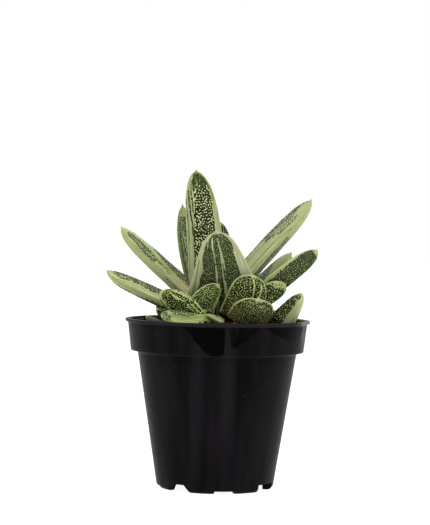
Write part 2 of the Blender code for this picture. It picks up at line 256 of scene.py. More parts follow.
LEAVES = (
    # name, base, tip, bow and face; then the sizes
    Leaf("leaf_tall", (-4.2, 4, 79), (-11.4, 8, 145.4), (1.3, 0, 0), (-0.05, 1, 0),
         width=16, depth=5, keel=0.5, blunt=6),
    Leaf("leaf_front_wide", (3.2, -4, 81), (-1.3, -24, 117.7), (0.4, -2, 0), (0, 1, 0.5),
         width=20.4, depth=5, keel=-0.1, flare=1.2, blunt=5),
    Leaf("leaf_upright_left", (-4, 9, 80), (-17.4, 14, 129.4), (-2.5, 0, 0), (-0.2, -1, 0.2),
         width=9.2, depth=3.5),
    Leaf("leaf_upright_back", (1.5, 12, 80), (-0.4, 18, 122.3), (0.5, 0, 0), (0.1, -1, 0.2),
         width=11.5, depth=4, blunt=6),
    Leaf("leaf_right_upper", (0.5, 2, 84), (41.8, -4, 132.6), (-1.2, 0, 1.1), (-0.7, -0.45, 0.5),
         width=13, depth=4, keel=0.5, flare=0.05, blunt=7),
    Leaf("leaf_left_upper", (-5.8, 1, 84.3), (-44.8, -4, 118.7), (0, 0, 0.5), (0.63, -0.43, 0.64),
         width=10.5, depth=4, keel=-0.5, flare=0.4, blunt=5.5),
    Leaf("leaf_right_inner", (10, 6, 84), (33.6, 8, 108.2), (0, 0, 1), (-0.55, -0.4, 0.55),
         width=10, depth=3.5, keel=0.4, blunt=5),
    Leaf("leaf_right_lower", (9, -3, 77.5), (44.8, -8, 109.8), (-0.4, 0, 1.6), (-0.4, 0.77, 0.5),
         width=10.5, depth=4.5, keel=-0.3, blunt=9),
    Leaf("leaf_left_lower", (-10, -4, 81), (-50.9, -10, 99), (0, 0, 0), (0.37, -0.45, 0.8),
         width=9, depth=3.5, keel=-0.5, blunt=6),
    Leaf("leaf_back_left_upper", (-3, 9, 81), (-9, 42, 117), (0, 0, 1), (0, -0.6, 1),
         width=13, depth=4.5, keel=0.3),
    Leaf("leaf_back_right_upper", (4, 9, 81), (8, 44, 100), (0, 0, 2), (0, -0.4, 1),
         width=13, depth=4.5, keel=-0.3),
    Leaf("leaf_front_right", (10.2, -13, 79), (15.2, -23, 98.6), (0.2, -1, 0), (0.1, 1, 0.4),
         width=16.8, depth=5, keel=-0.4, blunt=6),
    Leaf("leaf_front_middle", (-9.5, -14, 79), (0.1, -23, 94), (-1.5, 0, 0), (-0.1, 1, 0.4),
         width=11.5, depth=4, keel=0.2, flare=0.3),
    Leaf("leaf_right_short", (13, -11, 84), (30.3, -16, 94.6), (0, 0, 0.6), (-0.35, 0.75, 0.5),
         width=11, depth=4, keel=-0.3, blunt=6),
    Leaf("leaf_front_left", (-6.5, -16, 77.3), (-25.7, -25, 90.6), (0, 0, 0), (0.1, 1, 0.6),
         width=13, depth=3.5, keel=-0.55, blunt=5),
    Leaf("leaf_front_round", (13.4, -17, 79), (18, -33, 88.4), (0, 0, 0), (0, 1, 1.2),
         width=19, depth=4.5, flare=0),
    Leaf("leaf_front_left_low", (-4, -21, 80.5), (-25.2, -27, 80.8), (-1, -3, -1.5),
         (0.2, -0.6, 0.8), width=9.5, depth=3, blunt=6),
    Leaf("leaf_front_bud", (-2.5, -22, 79.3), (1.5, -35, 77.8), (0, 0, 1), (0.4, -0.3, 1),
         width=6, depth=2.5),
    Leaf("leaf_right_low", (29, -10, 77), (38, -14, 90.4), (0, 0, 0), (-0.1, 1, 0.3),
         width=8.6, depth=3.5, keel=-0.4, flare=0.4, blunt=3),
    Leaf("leaf_left_short", (-12, -4, 79.5), (-28.2, -8, 82.8), (0, 0, 0), (0.2, -0.3, 1),
         width=11, depth=3.5, blunt=8),
    Leaf("leaf_soil_left", (-22.5, -22, 75.8), (-32.2, -23, 79.6), (0, 0, -0.5), (0.4, 0.2, 1),
         width=4.4, depth=2.2, blunt=2.5),
    Leaf("leaf_back_left", (-8, 11, 81), (-19, 33, 89), (0, 0, 2), (0.2, -0.3, 1),
         width=12, depth=4.5, keel=0.3),
    Leaf("leaf_back_right", (9, 11, 81), (19, 34, 90), (0, 0, 2), (-0.2, -0.3, 1),
         width=12, depth=4.5, keel=-0.3),
    Leaf("leaf_back_middle", (1, 20, 79), (3, 38, 87), (0, 0, 2), (0, -0.4, 1),
         width=14, depth=4, keel=0.2),
    Leaf("leaf_back_left_low", (-4, 18, 79), (-22, 30, 81), (0, 0, 1), (0.2, -0.2, 1),
         width=10, depth=3.5, keel=0.2),
    Leaf("leaf_back_right_low", (5, 18, 79), (25, 27, 81), (0, 0, 1), (-0.2, -0.2, 1),
         width=10, depth=3.5, keel=-0.2),
    Leaf("leaf_left_back", (-12, 6, 79), (-26.5, 14, 83), (0, 0, 1), (0.3, 0, 1),
         width=10, depth=3.5, keel=0.2),
    Leaf("leaf_right_back", (12, 5, 79), (27, 14, 80.5), (0, 0, 1), (-0.3, 0, 1),
         width=10, depth=3.5, keel=-0.2),
)
print(len(LEAVES), "leaves, the longest", round(max(leaf.length for leaf in LEAVES)), "mm")

# %% [markdown]
# A leaf's surface is a grid: rows run from the foot to the tip along a bent line, and columns run
# round it. The upper side sinks a little between its two rounded margins. The underside rises to a
# keel, which is often off to one side. The last few rows close the tip to its short hard point,
# which is shorter where a leaf is short or blunt.

# %% Leaf surface
EDGE = 1.05 * MM  # half the thickness of a margin
TIP_POWER = 0.53  # about a square root, so that a leaf ends in a round
MARGIN_POWER = 0.7
MARGIN_THINNING = 12  # the margin keeps its thickness until close to the tip
KEEL_POWER = 0.85  # under 1, so that the flanks of the keel bulge
KEEL_ROUNDING = 0.06
POINT = 1.3 * MM  # the hard point is this long at most
POINT_SHARE = 9  # a short leaf's point is its length over this and over its bluntness
TIP_ROWS = 6
TIP_TAPER = 0.3  # the part of the closing that is even along the tip


def unit(vectors):
    return vectors / np.linalg.norm(vectors, axis=-1, keepdims=True)


def outline(leaf, along):
    return (1 + leaf.flare * (1 - along) ** 2) * (1 - along**leaf.blunt) ** TIP_POWER


def leaf_grid(leaf, along, turn):
    """Points for places along a leaf and angles round it, and how far across it each one lies."""
    base, tip, bow = (np.array(v, dtype=float) * MM for v in (leaf.base, leaf.tip, leaf.bow))
    bend = (base + tip) / 2 + 2 * bow
    t = along[:, None]
    middle = (1 - t) ** 2 * base + 2 * t * (1 - t) * bend + t**2 * tip
    ahead = unit((1 - t) * (bend - base) + t * (tip - bend))
    side = unit(np.cross(ahead, np.array(leaf.face, dtype=float)))
    up = np.cross(side, ahead)

    half = leaf.width / 2 * MM * outline(leaf, along)[:, None]
    depth = leaf.depth * MM * ((1 - along**leaf.blunt) ** TIP_POWER)[:, None]
    edge = EDGE * (1 - along**MARGIN_THINNING)[:, None]
    cos, sin = np.cos(turn)[None, :], np.sin(turn)[None, :]
    across_keel = (cos + leaf.keel) / (1 + leaf.keel * cos)
    across = np.where(sin > 0, cos, across_keel)
    from_keel = np.sqrt((across - leaf.keel) ** 2 + KEEL_ROUNDING**2) - KEEL_ROUNDING
    reach = 1 - leaf.keel * np.sign(across - leaf.keel)
    ridge = np.clip(1 - from_keel / reach, 0, 1) ** KEEL_POWER
    rounding = edge * np.abs(sin) ** MARGIN_POWER
    above = rounding - leaf.hollow * depth * (1 - across**2)
    below = -rounding - depth * ridge
    height = np.where(sin > 0, above, below)
    points = (
        middle[:, None, :]
        + side[:, None, :] * (half * across)[:, :, None]
        + up[:, None, :] * height[:, :, None]
    )
    return points, np.broadcast_to(across, points.shape[:2])


def close_tip(leaf, ring):
    """Rows that round the last ring of a leaf off to its point, and the point itself."""
    middle = ring.mean(axis=0)
    tip = np.array(leaf.tip) * MM
    length = leaf.length * MM
    point = tip + unit(tip - middle) * min(POINT, length / (POINT_SHARE * leaf.blunt))
    rows = []
    for step in range(1, TIP_ROWS):
        s = step / TIP_ROWS
        girth = 1 - TIP_TAPER * s - (1 - TIP_TAPER) * s * s
        rows.append(middle + (point - middle) * s + (ring - middle) * girth)
    return np.array(rows), point


print("the tall leaf is", round(LEAVES[0].width * outline(LEAVES[0], 0.5), 1), "mm wide halfway up")

# %% [markdown]
# The variegation is drawn as marks: strips that run along a leaf, dark, pale, green or cream, given
# by a few places that their two edges pass through. They are laid over each other in turn. What is
# stored on the mesh is the signed distance to the nearest boundary, in millimetres: positive in the
# dark. A distance stays smooth between the points of a mesh, so the shader can cut it off sharply
# and rag the edge with noise. The strength of a mark is the most that this distance may reach. Near
# zero the mark breaks up into speckles, and under 0.2 most styles of warts leave it bare. A crisp
# mark keeps a thin line whole.

# %% Marks of a leaf
@dataclass(frozen=True)
class Mark:
    """A strip along a leaf, through places (along, low edge, high edge)."""

    tone: str
    edges: tuple
    strength: float = 2.0  # mm, the most that its distance may reach
    crisp: float = 1.0


def marker(tone):
    """A function that makes marks of one tone."""
    def mark(*edges, strength=2.0, crisp=1.0):
        return Mark(tone, edges, strength, crisp)
    return mark


dark, pale, green, cream = (marker(tone) for tone in ("dark", "pale", "green", "cream"))


def line(tone, *places, width=0.06):
    """A thin whole line through places (along, across)."""
    edges = tuple((at, middle - width / 2, middle + width / 2) for at, middle in places)
    return Mark(tone, edges, crisp=3.0)


OUTSIDE = -3.0  # mm, as far out of a mark as the distance goes
RIM = 0.45  # mm of pale rim round the end of a leaf
RIM_SLOPE = 0.8
END_SLOPE = 0.5  # a mark's ends are ragged over a longer stretch than its sides
LAST_WIDTH = 0.97  # past here, the width of a leaf is taken to be what it is here


def mark_fields(leaf, marks, along, across):
    """For each tone, the signed distance in mm into it, from marks laid over each other."""
    half = leaf.width / 2 * outline(leaf, np.minimum(along, LAST_WIDTH))
    fields = {tone: np.full(np.shape(across), OUTSIDE) for tone in ("dark", "green", "cream")}
    for mark in marks:
        at, low, high = np.array(mark.edges).T
        sides = np.minimum(across - np.interp(along, at, low), np.interp(along, at, high) - across)
        ends = np.minimum(along - at[0], at[-1] - along) * leaf.length * END_SLOPE
        inside = np.minimum(np.minimum(sides * half * mark.crisp, ends), mark.strength)
        if mark.tone == "pale":
            fields["dark"] = np.minimum(fields["dark"], -inside)
        else:
            fields[mark.tone] = np.maximum(fields[mark.tone], inside)
    fields["dark"] = np.minimum(fields["dark"], (1 - along) * leaf.length * RIM_SLOPE - RIM)
    return fields


# %% [markdown]
# Each leaf has its own look: the marks on its two sides, the kind of its warts and its tints. Most
# of the hidden sides share one of a few sets of marks. The places run from 0 at the foot to 1 at
# the tip, and from -1 to 1 across.

# %% Shared marks
@dataclass(frozen=True)
class Look:
    """How a leaf is marked: below and above, its warts and its tints."""

    under: tuple
    upper: tuple
    warts: str = "dots"
    cream: tuple = (0.6, 0.3)  # from yellow-green (0) to grey cream (1), at the foot and at the tip
    blush: tuple = (0.0, 0.0)  # orange-brown at the foot and at the tip
    slate: float = 0.0  # how much lighter and greyer the dark is


PLAIN = (
    dark((-0.1, -0.97, 0.97), (0.96, -0.95, 0.95)),
)
# dark to the very edges, with no pale margin; on the short leaf under the left ones, painted shade
DARK = (
    dark((-0.1, -1.2, 1.2), (0.99, -1.2, 1.2)),
)
RIBBED = (
    *PLAIN, line("pale", (0.0, -0.3), (0.95, -0.2)), line("pale", (0.0, 0.2), (0.95, 0.12)),
)
MARGINED = (
    dark((-0.1, -0.62, 0.66), (0.93, -0.66, 0.6)), line("dark", (0.2, -0.78), (0.75, -0.76)),
    line("dark", (0.1, 0.8), (0.7, 0.74)), line("pale", (0.1, -0.1), (0.9, 0.02)),
)
MARBLED = (
    dark((-0.1, 0.25, 0.95), (0.95, 0.3, 0.8), strength=0.1),
    dark((0.3, -0.3, 0.15), (0.7, -0.2, 0.1), strength=0.0),
    line("dark", (0.2, -0.7), (0.8, -0.75)),
)
print("shared sets of marks:", [len(marks) for marks in (PLAIN, DARK, RIBBED, MARGINED, MARBLED)])

# %% [markdown]
# The long leaves show the variegation best. The tall one has dark streaks beside its warty middle,
# the wide one in front two pale ribs, and the two that lean out furthest are nearly all cream, with
# broken patches of dark towards their tips.

# %% Looks of the long leaves
LOOKS = {
    "leaf_tall": Look(
        under=(
            dark((-0.1, -0.6, 0.7), (0.5, -0.6, 0.66), (0.7, -0.67, 0.47), (0.83, -0.76, 0.41),
                 (0.93, -0.85, 0.58), (0.985, -0.5, 0.5)),
            pale((0.9, -0.9, 0.5), (0.985, -0.7, 0.5), strength=-0.18),
            pale((0.86, 0.0, 0.12), (0.93, 0.0, 0.15), strength=0.2),
            dark((0.55, 0.62, 0.67), (0.66, 0.62, 0.71), (0.78, 0.68, 0.81), (0.88, 0.78, 0.88),
                 strength=0.19, crisp=3),
            dark((0.5, 0.84, 0.87), (0.7, 0.86, 0.92), (0.82, 0.92, 0.98), strength=0.19, crisp=3),
            dark((0.66, 0.48, 0.53), (0.78, 0.5, 0.61), (0.88, 0.58, 0.7), strength=0.19, crisp=3),
            green((0.86, -0.9, 0.5), (0.95, -0.9, 0.5), (1.0, -0.9, 0.9)),
            green((0.78, -0.92, -0.76), (0.9, -1.0, -0.8)),
            green((0.2, -1.1, -0.84), (0.75, -1.1, -0.74), (0.86, -1.1, -0.8), strength=-0.1),
            dark((0.86, 0.6, 0.68), (0.95, 0.6, 0.66), strength=0.15, crisp=3),
            line("green", (0.86, 0.84), (0.95, 0.7)), line("green", (0.3, 0.93), (0.6, 0.93)),
        ),
        upper=MARGINED, warts="worms", cream=(0.95, 0.3)),
    "leaf_front_wide": Look(
        under=(
            dark((-0.1, -0.68, 0.72), (0.48, -0.68, 0.74), (0.57, -0.68, 0.66), (0.75, -0.7, 0.78),
                 (0.88, -0.85, 0.76), (0.985, -0.75, 0.6)),
            pale((0.0, 0.12, 0.175), (0.48, 0.12, 0.185), (0.76, 0.18, 0.25), (0.95, 0.38, 0.5),
                 crisp=3),
            pale((0.0, -0.085, -0.05), (0.55, -0.095, -0.055), (0.68, -0.13, -0.06),
                 (0.8, -0.18, -0.07), (0.88, -0.11, -0.02), (0.96, -0.06, 0.06), crisp=3),
            line("pale", (0.1, -0.13), (0.43, -0.14), (0.76, -0.2), width=0.035),
            line("pale", (0.82, 0.58), (0.93, 0.7), width=0.05),
            line("green", (0.1, 0.83), (0.7, 0.9)),
            line("dark", (0.3, -0.8), (0.47, -0.82), width=0.04),
            line("dark", (0.3, -0.9), (0.44, -0.92), width=0.04),
        ),
        upper=MARGINED, warts="fine", cream=(0.9, 0.8), blush=(0.0, 0.12), slate=0.15),
    "leaf_upright_left": Look(
        under=RIBBED,
        upper=(
            dark((-0.1, -0.75, 0.95), (0.7, -0.72, 0.9), (0.9, -0.6, 0.8)),
            green((-0.1, -1.1, -0.6), (0.97, -1.1, -0.6)),
            green((0.72, -0.6, 1.1), (1.0, -0.6, 1.1), strength=-0.08),
            line("pale", (0.3, -0.5), (0.9, -0.35), width=0.1),
            pale((0.5, -0.25, -0.1), (0.85, -0.2, 0.0), strength=0.1),
        ),
        warts="few", cream=(0.6, 0.1), slate=0.75),
    "leaf_upright_back": Look(under=PLAIN, upper=PLAIN, slate=0.2),
    "leaf_right_upper": Look(
        under=(
            dark((0.1, 0.6, 0.93), (0.45, 0.62, 0.96), (0.7, 0.72, 0.96), strength=0.1),
            line("dark", (0.1, 0.95), (0.6, 0.95)),
        ),
        upper=(
            dark((0.0, -1.2, -0.85), (0.5, -1.2, -0.75), (0.62, -1.2, -0.6), strength=0.3),
            line("dark", (0.3, -0.6), (0.6, -0.4)),
            dark((0.56, -0.7, -0.2), (0.66, -0.5, 0.2), (0.8, -0.3, 0.35), (0.86, -0.2, 0.1),
                 strength=-0.04),
            dark((0.58, -1.2, -0.5), (0.72, -1.2, -0.35), (0.81, -1.2, -0.1), (0.88, -1.2, -0.4),
                 (0.98, -1.2, -0.8), strength=0.16),
            dark((0.66, 0.05, 0.35), (0.8, -0.15, 0.5), (0.86, 0.0, 0.45), strength=0.12),
            line("pale", (0.62, -0.35), (0.9, -0.2), width=0.1),
            line("pale", (0.64, 0.1), (0.88, 0.15), width=0.1),
            dark((0.84, -1.2, -0.5), (0.92, -1.2, -0.55), (0.985, -1.2, -0.8), strength=0.5),
            line("green", (0.2, -0.52), (0.4, -0.4), (0.6, -0.22)),
            line("dark", (0.05, -0.98), (0.6, -0.98)),
            # painted shadow: an olive line along the crease where the leaf folds, whose twist isn't
            # modelled
            green((0.1, 0.38, 0.44), (0.52, 0.48, 0.58), (0.66, 0.7, 0.8), (0.77, 0.95, 1.05),
                  crisp=3),
        ),
        warts="few", cream=(0.55, 0.4), slate=0.4),
    "leaf_left_upper": Look(
        under=(
            dark((0.0, -1.1, -0.9), (0.3, -1.1, -0.95), (0.42, -1.1, -0.98), strength=0.1),
        ),
        upper=(
            dark((0.58, -1.0, -0.2), (0.66, -1.0, 0.1), (0.78, -0.95, 0.3), (0.88, -0.7, 0.3),
                 (0.93, -0.3, 0.1), strength=0.3),
            dark((0.86, 0.3, 0.5), (0.92, 0.25, 0.45), strength=0.3),
            dark((0.4, -0.85, -0.05), (0.55, -1.0, -0.1), (0.7, -1.0, 0.1), strength=-0.1),
            dark((0.6, -0.36, -0.2), (0.7, -0.52, -0.34), (0.82, -0.68, -0.5), strength=0.3,
                 crisp=2),
            dark((0.87, -0.72, -0.55), (0.92, -0.72, -0.6)),
            line("pale", (0.6, -0.5), (0.9, -0.35), width=0.12),
            dark((0.45, -0.36, -0.26), (0.49, -0.56, -0.46), (0.53, -0.8, -0.7), strength=0.1,
                 crisp=2),
            dark((0.05, -0.1, 1.2), (0.3, -0.06, 1.2), (0.4, 0.06, 1.2), (0.55, 0.3, 1.2),
                 (0.68, 0.85, 1.2), strength=0.35),
            # grey cream of the facet that turns down near the foot: partly its tint, partly painted
            # shade
            cream((0.1, -1.2, 0.5), (0.24, -1.2, 0.28), (0.36, -1.2, -0.38), (0.48, -1.2, -1.0)),
            green((0.05, -1.2, 0.6), (0.3, -1.2, 0.4), (0.55, -1.2, 0.0), strength=-0.1),
        ),
        warts="few", cream=(0.6, 0.05), blush=(0.2, 0.0), slate=0.5),
    "leaf_right_inner": Look(
        under=PLAIN,
        upper=(
            dark((-0.1, -1.2, 0.9), (0.45, -1.2, 0.6), (0.57, -1.2, 0.2), (0.7, -1.2, -0.5),
                 strength=0.3),
            dark((0.6, -1.2, -0.2), (0.86, -1.2, -0.7), strength=0.05),
            line("dark", (0.55, 0.85), (0.77, 0.72), (0.9, 0.5)),
        ),
        warts="few", cream=(0.5, 0.4), slate=1.0),
    "leaf_right_lower": Look(
        under=(
            dark((-0.1, -1.2, 0.84), (0.64, -1.2, 0.86), (0.77, -1.2, 0.93), (0.9, -1.2, 1.0),
                 (0.97, -1.2, 1.0)),
            line("pale", (0.4, -0.32), (0.62, -0.42)),
            line("pale", (0.45, -0.55), (0.6, -0.62), width=0.04),
        ),
        upper=MARGINED, warts="fine", cream=(0.4, 0.3), blush=(0.0, 0.5), slate=0.22),
    "leaf_left_lower": Look(
        under=(
            dark((0.1, -0.85, 0.9), (0.48, -0.9, 0.9), (0.63, -0.72, 0.9), (0.81, -0.77, 0.9),
                 (0.9, -0.6, 0.6), strength=0.25),
        ),
        upper=(
            dark((0.0, -0.3, 1.2), (0.51, -0.32, 1.2), (0.63, -0.2, 1.2), (0.75, -0.22, 1.2),
                 (0.86, -0.5, 1.2), (0.93, 0.0, 1.2), strength=0.18),
            line("pale", (0.6, -0.05), (0.9, 0.1)), line("pale", (0.55, 0.3), (0.8, 0.45)),
            line("dark", (0.58, -0.46), (0.71, -0.56), (0.86, -0.98)),
            line("green", (0.55, -0.62), (0.7, -0.8)),
        ),
        warts="few", cream=(0.6, 0.3), blush=(0.0, 0.35), slate=0.3),
}
print("looks for", len(LOOKS), "leaves")

# %% [markdown]
# The low leaves in front are darker and rounder. Pale ribs and rims show most on them, and some end
# in a dry orange tip.

# %% Looks of the low leaves in front
LOOKS |= {
    "leaf_front_right": Look(
        under=(
            dark((-0.1, -0.98, 0.93), (0.5, -0.98, 0.93), (0.73, -0.98, 0.9), (0.9, -0.98, 0.9),
                 (0.98, -0.9, 0.8)),
            pale((0.0, -0.34, -0.27), (0.63, -0.35, -0.27), (0.86, -0.37, -0.25),
                 (0.97, -0.3, -0.1), crisp=3),
            pale((0.0, -0.62, -0.56), (0.66, -0.68, -0.59), (0.9, -0.88, -0.76), crisp=3),
            line("dark", (0.3, 0.9), (0.8, 0.87)),
        ),
        upper=PLAIN, cream=(0.3, 0.3), blush=(0.1, 0.0)),
    "leaf_front_middle": Look(
        under=(
            dark((-0.1, -0.7, 0.97), (0.36, -0.7, 0.97), (0.72, -0.7, 0.97), (0.92, -0.92, 0.97),
                 (0.98, -0.8, 0.8)),
            pale((0.25, -0.42, -0.2), (0.43, 0.24, 0.44), (0.48, 0.68, 0.9), crisp=2),
            pale((0.18, -0.5, -0.35), (0.36, 0.08, 0.24), (0.42, 0.6, 0.76), crisp=2),
        ),
        upper=PLAIN, warts="green", cream=(0.3, 0.2), blush=(0.0, 0.4), slate=0.2),
    "leaf_right_short": Look(
        under=(
            dark((-0.1, -1.2, 0.97), (0.6, -1.2, 0.97), (0.97, -1.2, 0.95)),
            pale((0.76, 0.6, 0.9), (0.86, 0.5, 0.95), (0.98, -0.4, 0.95), strength=0.12),
            line("pale", (0.7, 0.16), (0.9, 0.02)), line("pale", (0.68, -0.12), (0.86, -0.25)),
            pale((0.58, 0.5, 0.62), (0.64, 0.5, 0.62), crisp=2),
        ),
        upper=PLAIN, cream=(0.0, 0.0), blush=(0.0, 0.5), slate=0.15),
    "leaf_front_left": Look(
        under=(
            dark((-0.1, -1.2, 0.5), (0.6, -1.2, 0.5), (0.77, -1.2, 0.52), (0.9, -1.2, 0.4),
                 (0.97, -1.2, 0.1)),
            dark((0.3, 0.68, 1.0), (0.7, 0.7, 1.0), (0.92, 0.6, 0.9), strength=0.3),
            pale((0.5, -0.72, -0.66), (0.72, -0.77, -0.7), (0.82, -0.74, -0.66),
                 (0.93, -0.96, -0.86), crisp=2),
            line("pale", (0.5, -0.96), (0.9, -0.98), width=0.05),
            line("pale", (0.2, -0.4), (0.54, -0.68), width=0.07),
            line("pale", (0.12, -0.6), (0.47, -0.79), width=0.07),
            line("pale", (0.12, -0.76), (0.44, -0.97), width=0.07),
        ),
        upper=PLAIN, warts="dots", cream=(0.1, 0.0)),
    "leaf_front_round": Look(
        under=(
            dark((-0.1, -0.98, 0.98), (0.98, -0.98, 0.98)),
        ),
        upper=PLAIN, warts="ruddy", cream=(0.3, 0.4), blush=(0.42, 0.0), slate=0.15),
    "leaf_front_left_low": Look(
        under=PLAIN,
        upper=(
            green((0.0, -1.1, 1.1), (0.8, -1.1, 1.1), strength=0.05),
            dark((0.08, 0.0, 0.95), (0.3, -0.05, 0.95), (0.5, -0.05, 0.95), (0.72, 0.1, 0.95),
                 (0.82, 0.45, 0.95), strength=0.12),
            dark((0.76, -0.95, -0.35), (0.84, -0.95, -0.05), (0.9, -0.95, 0.6), (0.98, -0.8, 0.7)),
            line("pale", (0.8, -0.75), (0.97, -0.5), width=0.12),
            line("pale", (0.84, -0.3), (0.97, -0.1), width=0.12),
            line("pale", (0.88, 0.2), (0.97, 0.3), width=0.12),
        ),
        warts="few", cream=(0.1, 0.1), slate=0.4),
    "leaf_front_bud": Look(
        under=PLAIN,
        upper=(
            dark((0.0, -0.8, -0.3), (0.95, -0.8, -0.3)), dark((0.0, -0.1, 0.2), (0.95, -0.1, 0.2)),
            dark((0.0, 0.4, 0.75), (0.95, 0.4, 0.75)),
        ),
        warts="none", cream=(0.2, 0.2), slate=0.6),
    "leaf_right_low": Look(
        under=(
            dark((-0.1, 0.12, 1.1), (0.5, 0.12, 1.1), (0.8, 0.12, 0.95), (0.9, 0.05, 0.85),
                 (0.97, -0.15, 0.6)),
            line("pale", (0.55, 0.68), (0.93, 0.5)), line("pale", (0.5, 0.34), (0.95, 0.2)),
        ),
        upper=PLAIN, cream=(0.6, 0.5), slate=0.15),
    # its underside is dark to the very edge: painted shade, as it sits in shadow under the left
    # leaves
    "leaf_left_short": Look(under=DARK, upper=PLAIN, warts="fine"),
    "leaf_soil_left": Look(
        under=DARK,
        upper=(
            *DARK, line("pale", (0.0, 0.1), (0.95, 0.2)),
        ),
        warts="none", slate=0.9),
}
print("looks for", len(LOOKS), "leaves")

# %% [markdown]
# The leaves at the back can't be seen in the photograph. They take shared marks, mixed so that no
# two neighbours look the same.

# %% Looks of the leaves at the back
LOOKS |= {
    "leaf_back_left_upper": Look(under=MARGINED, upper=MARBLED, warts="worms"),
    "leaf_back_right_upper": Look(under=RIBBED, upper=MARGINED),
    "leaf_back_left": Look(under=RIBBED, upper=PLAIN, slate=0.2),
    "leaf_back_right": Look(under=MARGINED, upper=MARBLED, warts="worms"),
    "leaf_back_middle": Look(under=PLAIN, upper=RIBBED, warts="fine", slate=0.4, blush=(0.3, 0.3)),
    "leaf_back_left_low": Look(under=RIBBED, upper=RIBBED),
    "leaf_back_right_low": Look(under=PLAIN, upper=MARGINED),
    "leaf_left_back": Look(under=PLAIN, upper=RIBBED, blush=(0.0, 0.4)),
    "leaf_right_back": Look(under=RIBBED, upper=PLAIN),
}
print("looks for", len(LOOKS), "leaves")

# %% [markdown]
# The skin has one material for all the leaves. It reads the distances from the mesh, adds noise
# that is stretched along the leaf, and turns the sums into dark, green or pale. A little light
# enters the flesh under the skin, which softens its shading. Its gloss is low, because a high one
# would veil the dark green in a white room.

# %% Leaf skin
UV_TO_MM = 100.0  # the leaf's UV map holds tenths of a metre


def leaf_skin():
    made, tree, shader = new_material(
        "leaf_skin", Roughness=0.42, Subsurface_Weight=0.1, Subsurface_Scale=0.001,
        Subsurface_Radius=(0.7, 1.0, 0.35), Specular_IOR_Level=0.08)
    tints = add(tree, "ShaderNodeAttribute", attribute_name="tints").outputs
    channels = add(tree, "ShaderNodeSeparateColor", {"Color": tints["Color"]}).outputs
    uv = add(tree, "ShaderNodeUVMap", uv_map="leaf")

    def streaks(across, along, low, high, to_low=0.0, to_high=1.0, detail=2.0):
        """Noise in lumps of so many mm across and along the leaf, spread over a range."""
        scale = (UV_TO_MM / across, UV_TO_MM / along, 1.0)
        place = add(tree, "ShaderNodeMapping", {"Vector": uv, "Scale": scale})
        inputs = {"Vector": place, "W": tints["Alpha"], "Scale": 1.0, "Detail": detail}
        grain = add(tree, "ShaderNodeTexNoise", inputs, noise_dimensions="4D").outputs["Fac"]
        return remap(tree, grain, low, high, to_low, to_high)

    waves = streaks(0.6, 6.0, 0.25, 0.75, -0.2, 0.2, detail=1.0)
    speckle = streaks(0.55, 1.0, 0.3, 0.7, -0.3, 0.3, detail=1.0)
    ragged = calc(tree, "ADD", calc(tree, "ADD", stored(tree, "dark"), waves), speckle)
    darkness = remap(tree, ragged, -0.05, 0.05)
    wavy = calc(tree, "ADD", stored(tree, "green"), waves)
    greenness = remap(tree, wavy, -0.25, 0.25, 0.0, 0.8)

    deep = blend(tree, streaks(1.1, 1.5, 0.35, 0.65), "#0e1503", "#303d11")
    slated = blend(tree, streaks(0.8, 1.2, 0.3, 0.7), "#3f4d3f", "#66735d")
    dark_colour = blend(tree, channels["Blue"], deep, slated)
    lime = blend(tree, streaks(1.6, 30.0, 0.3, 0.7), "#869450", "#adb778")
    grey = blend(tree, streaks(1.6, 30.0, 0.3, 0.7), "#8f9170", "#afae8f")
    pale_colour = blend(tree, channels["Red"], lime, grey)
    veins = streaks(0.4, 14.0, 0.48, 0.7, 0.0, 0.5, detail=3.0)
    bright_veins = streaks(0.5, 11.0, 0.55, 0.75, 0.0, 0.6)
    pale_colour = lay_over(
        tree, pale_colour, (veins, "#75854a"), (bright_veins, "#cbcfa9"), (greenness, "#5d6f2c"))
    mixed = blend(tree, darkness, pale_colour, dark_colour)
    brown = blend(tree, streaks(0.8, 1.5, 0.3, 0.7), "#b08a4c", "#8a5f35")
    mixed = blend(tree, channels["Green"], mixed, brown)

    place = place_in_piece(tree)
    pebbles = add(tree, "ShaderNodeTexVoronoi", {"Vector": place, "Scale": 1300.0})
    grain = lumps(tree, place, 5000.0)
    relief = calc(tree, "MULTIPLY_ADD", pebbles.outputs["Distance"], -0.5, grain)
    dress(tree, shader, mixed, relief, 0.25, 0.12 * MM)
    return made


skin = leaf_skin()
print("leaf skin:", len(skin.node_tree.nodes), "nodes")

# %% [markdown]
# A wart is a small pale lump of the leaf's own skin. Its colour varies a little from wart to wart,
# which noise at about the distance between two warts gives.

# %% Wart skins
def wart_skin(name, low, high):
    made, tree, shader = new_material(
        name, Roughness=0.48, Subsurface_Weight=0.1, Subsurface_Scale=0.0005,
        Subsurface_Radius=(0.9, 1.0, 0.6), Specular_IOR_Level=0.15)
    patches = lumps(tree, place_in_piece(tree), 900.0, Detail=2.0)
    mixed = blend(tree, remap(tree, patches, 0.3, 0.7), low, high)
    plug(tree, shader.inputs["Base Color"], mixed)
    return made


@dataclass(frozen=True)
class Warts:
    """How close, how wide and how long the warts of a leaf are, and where they may stand."""

    spacing: float  # mm
    radius: float  # mm
    stretch: float  # the longest are this many times as long as wide
    least_depth: float  # mm into the dark
    skin: object


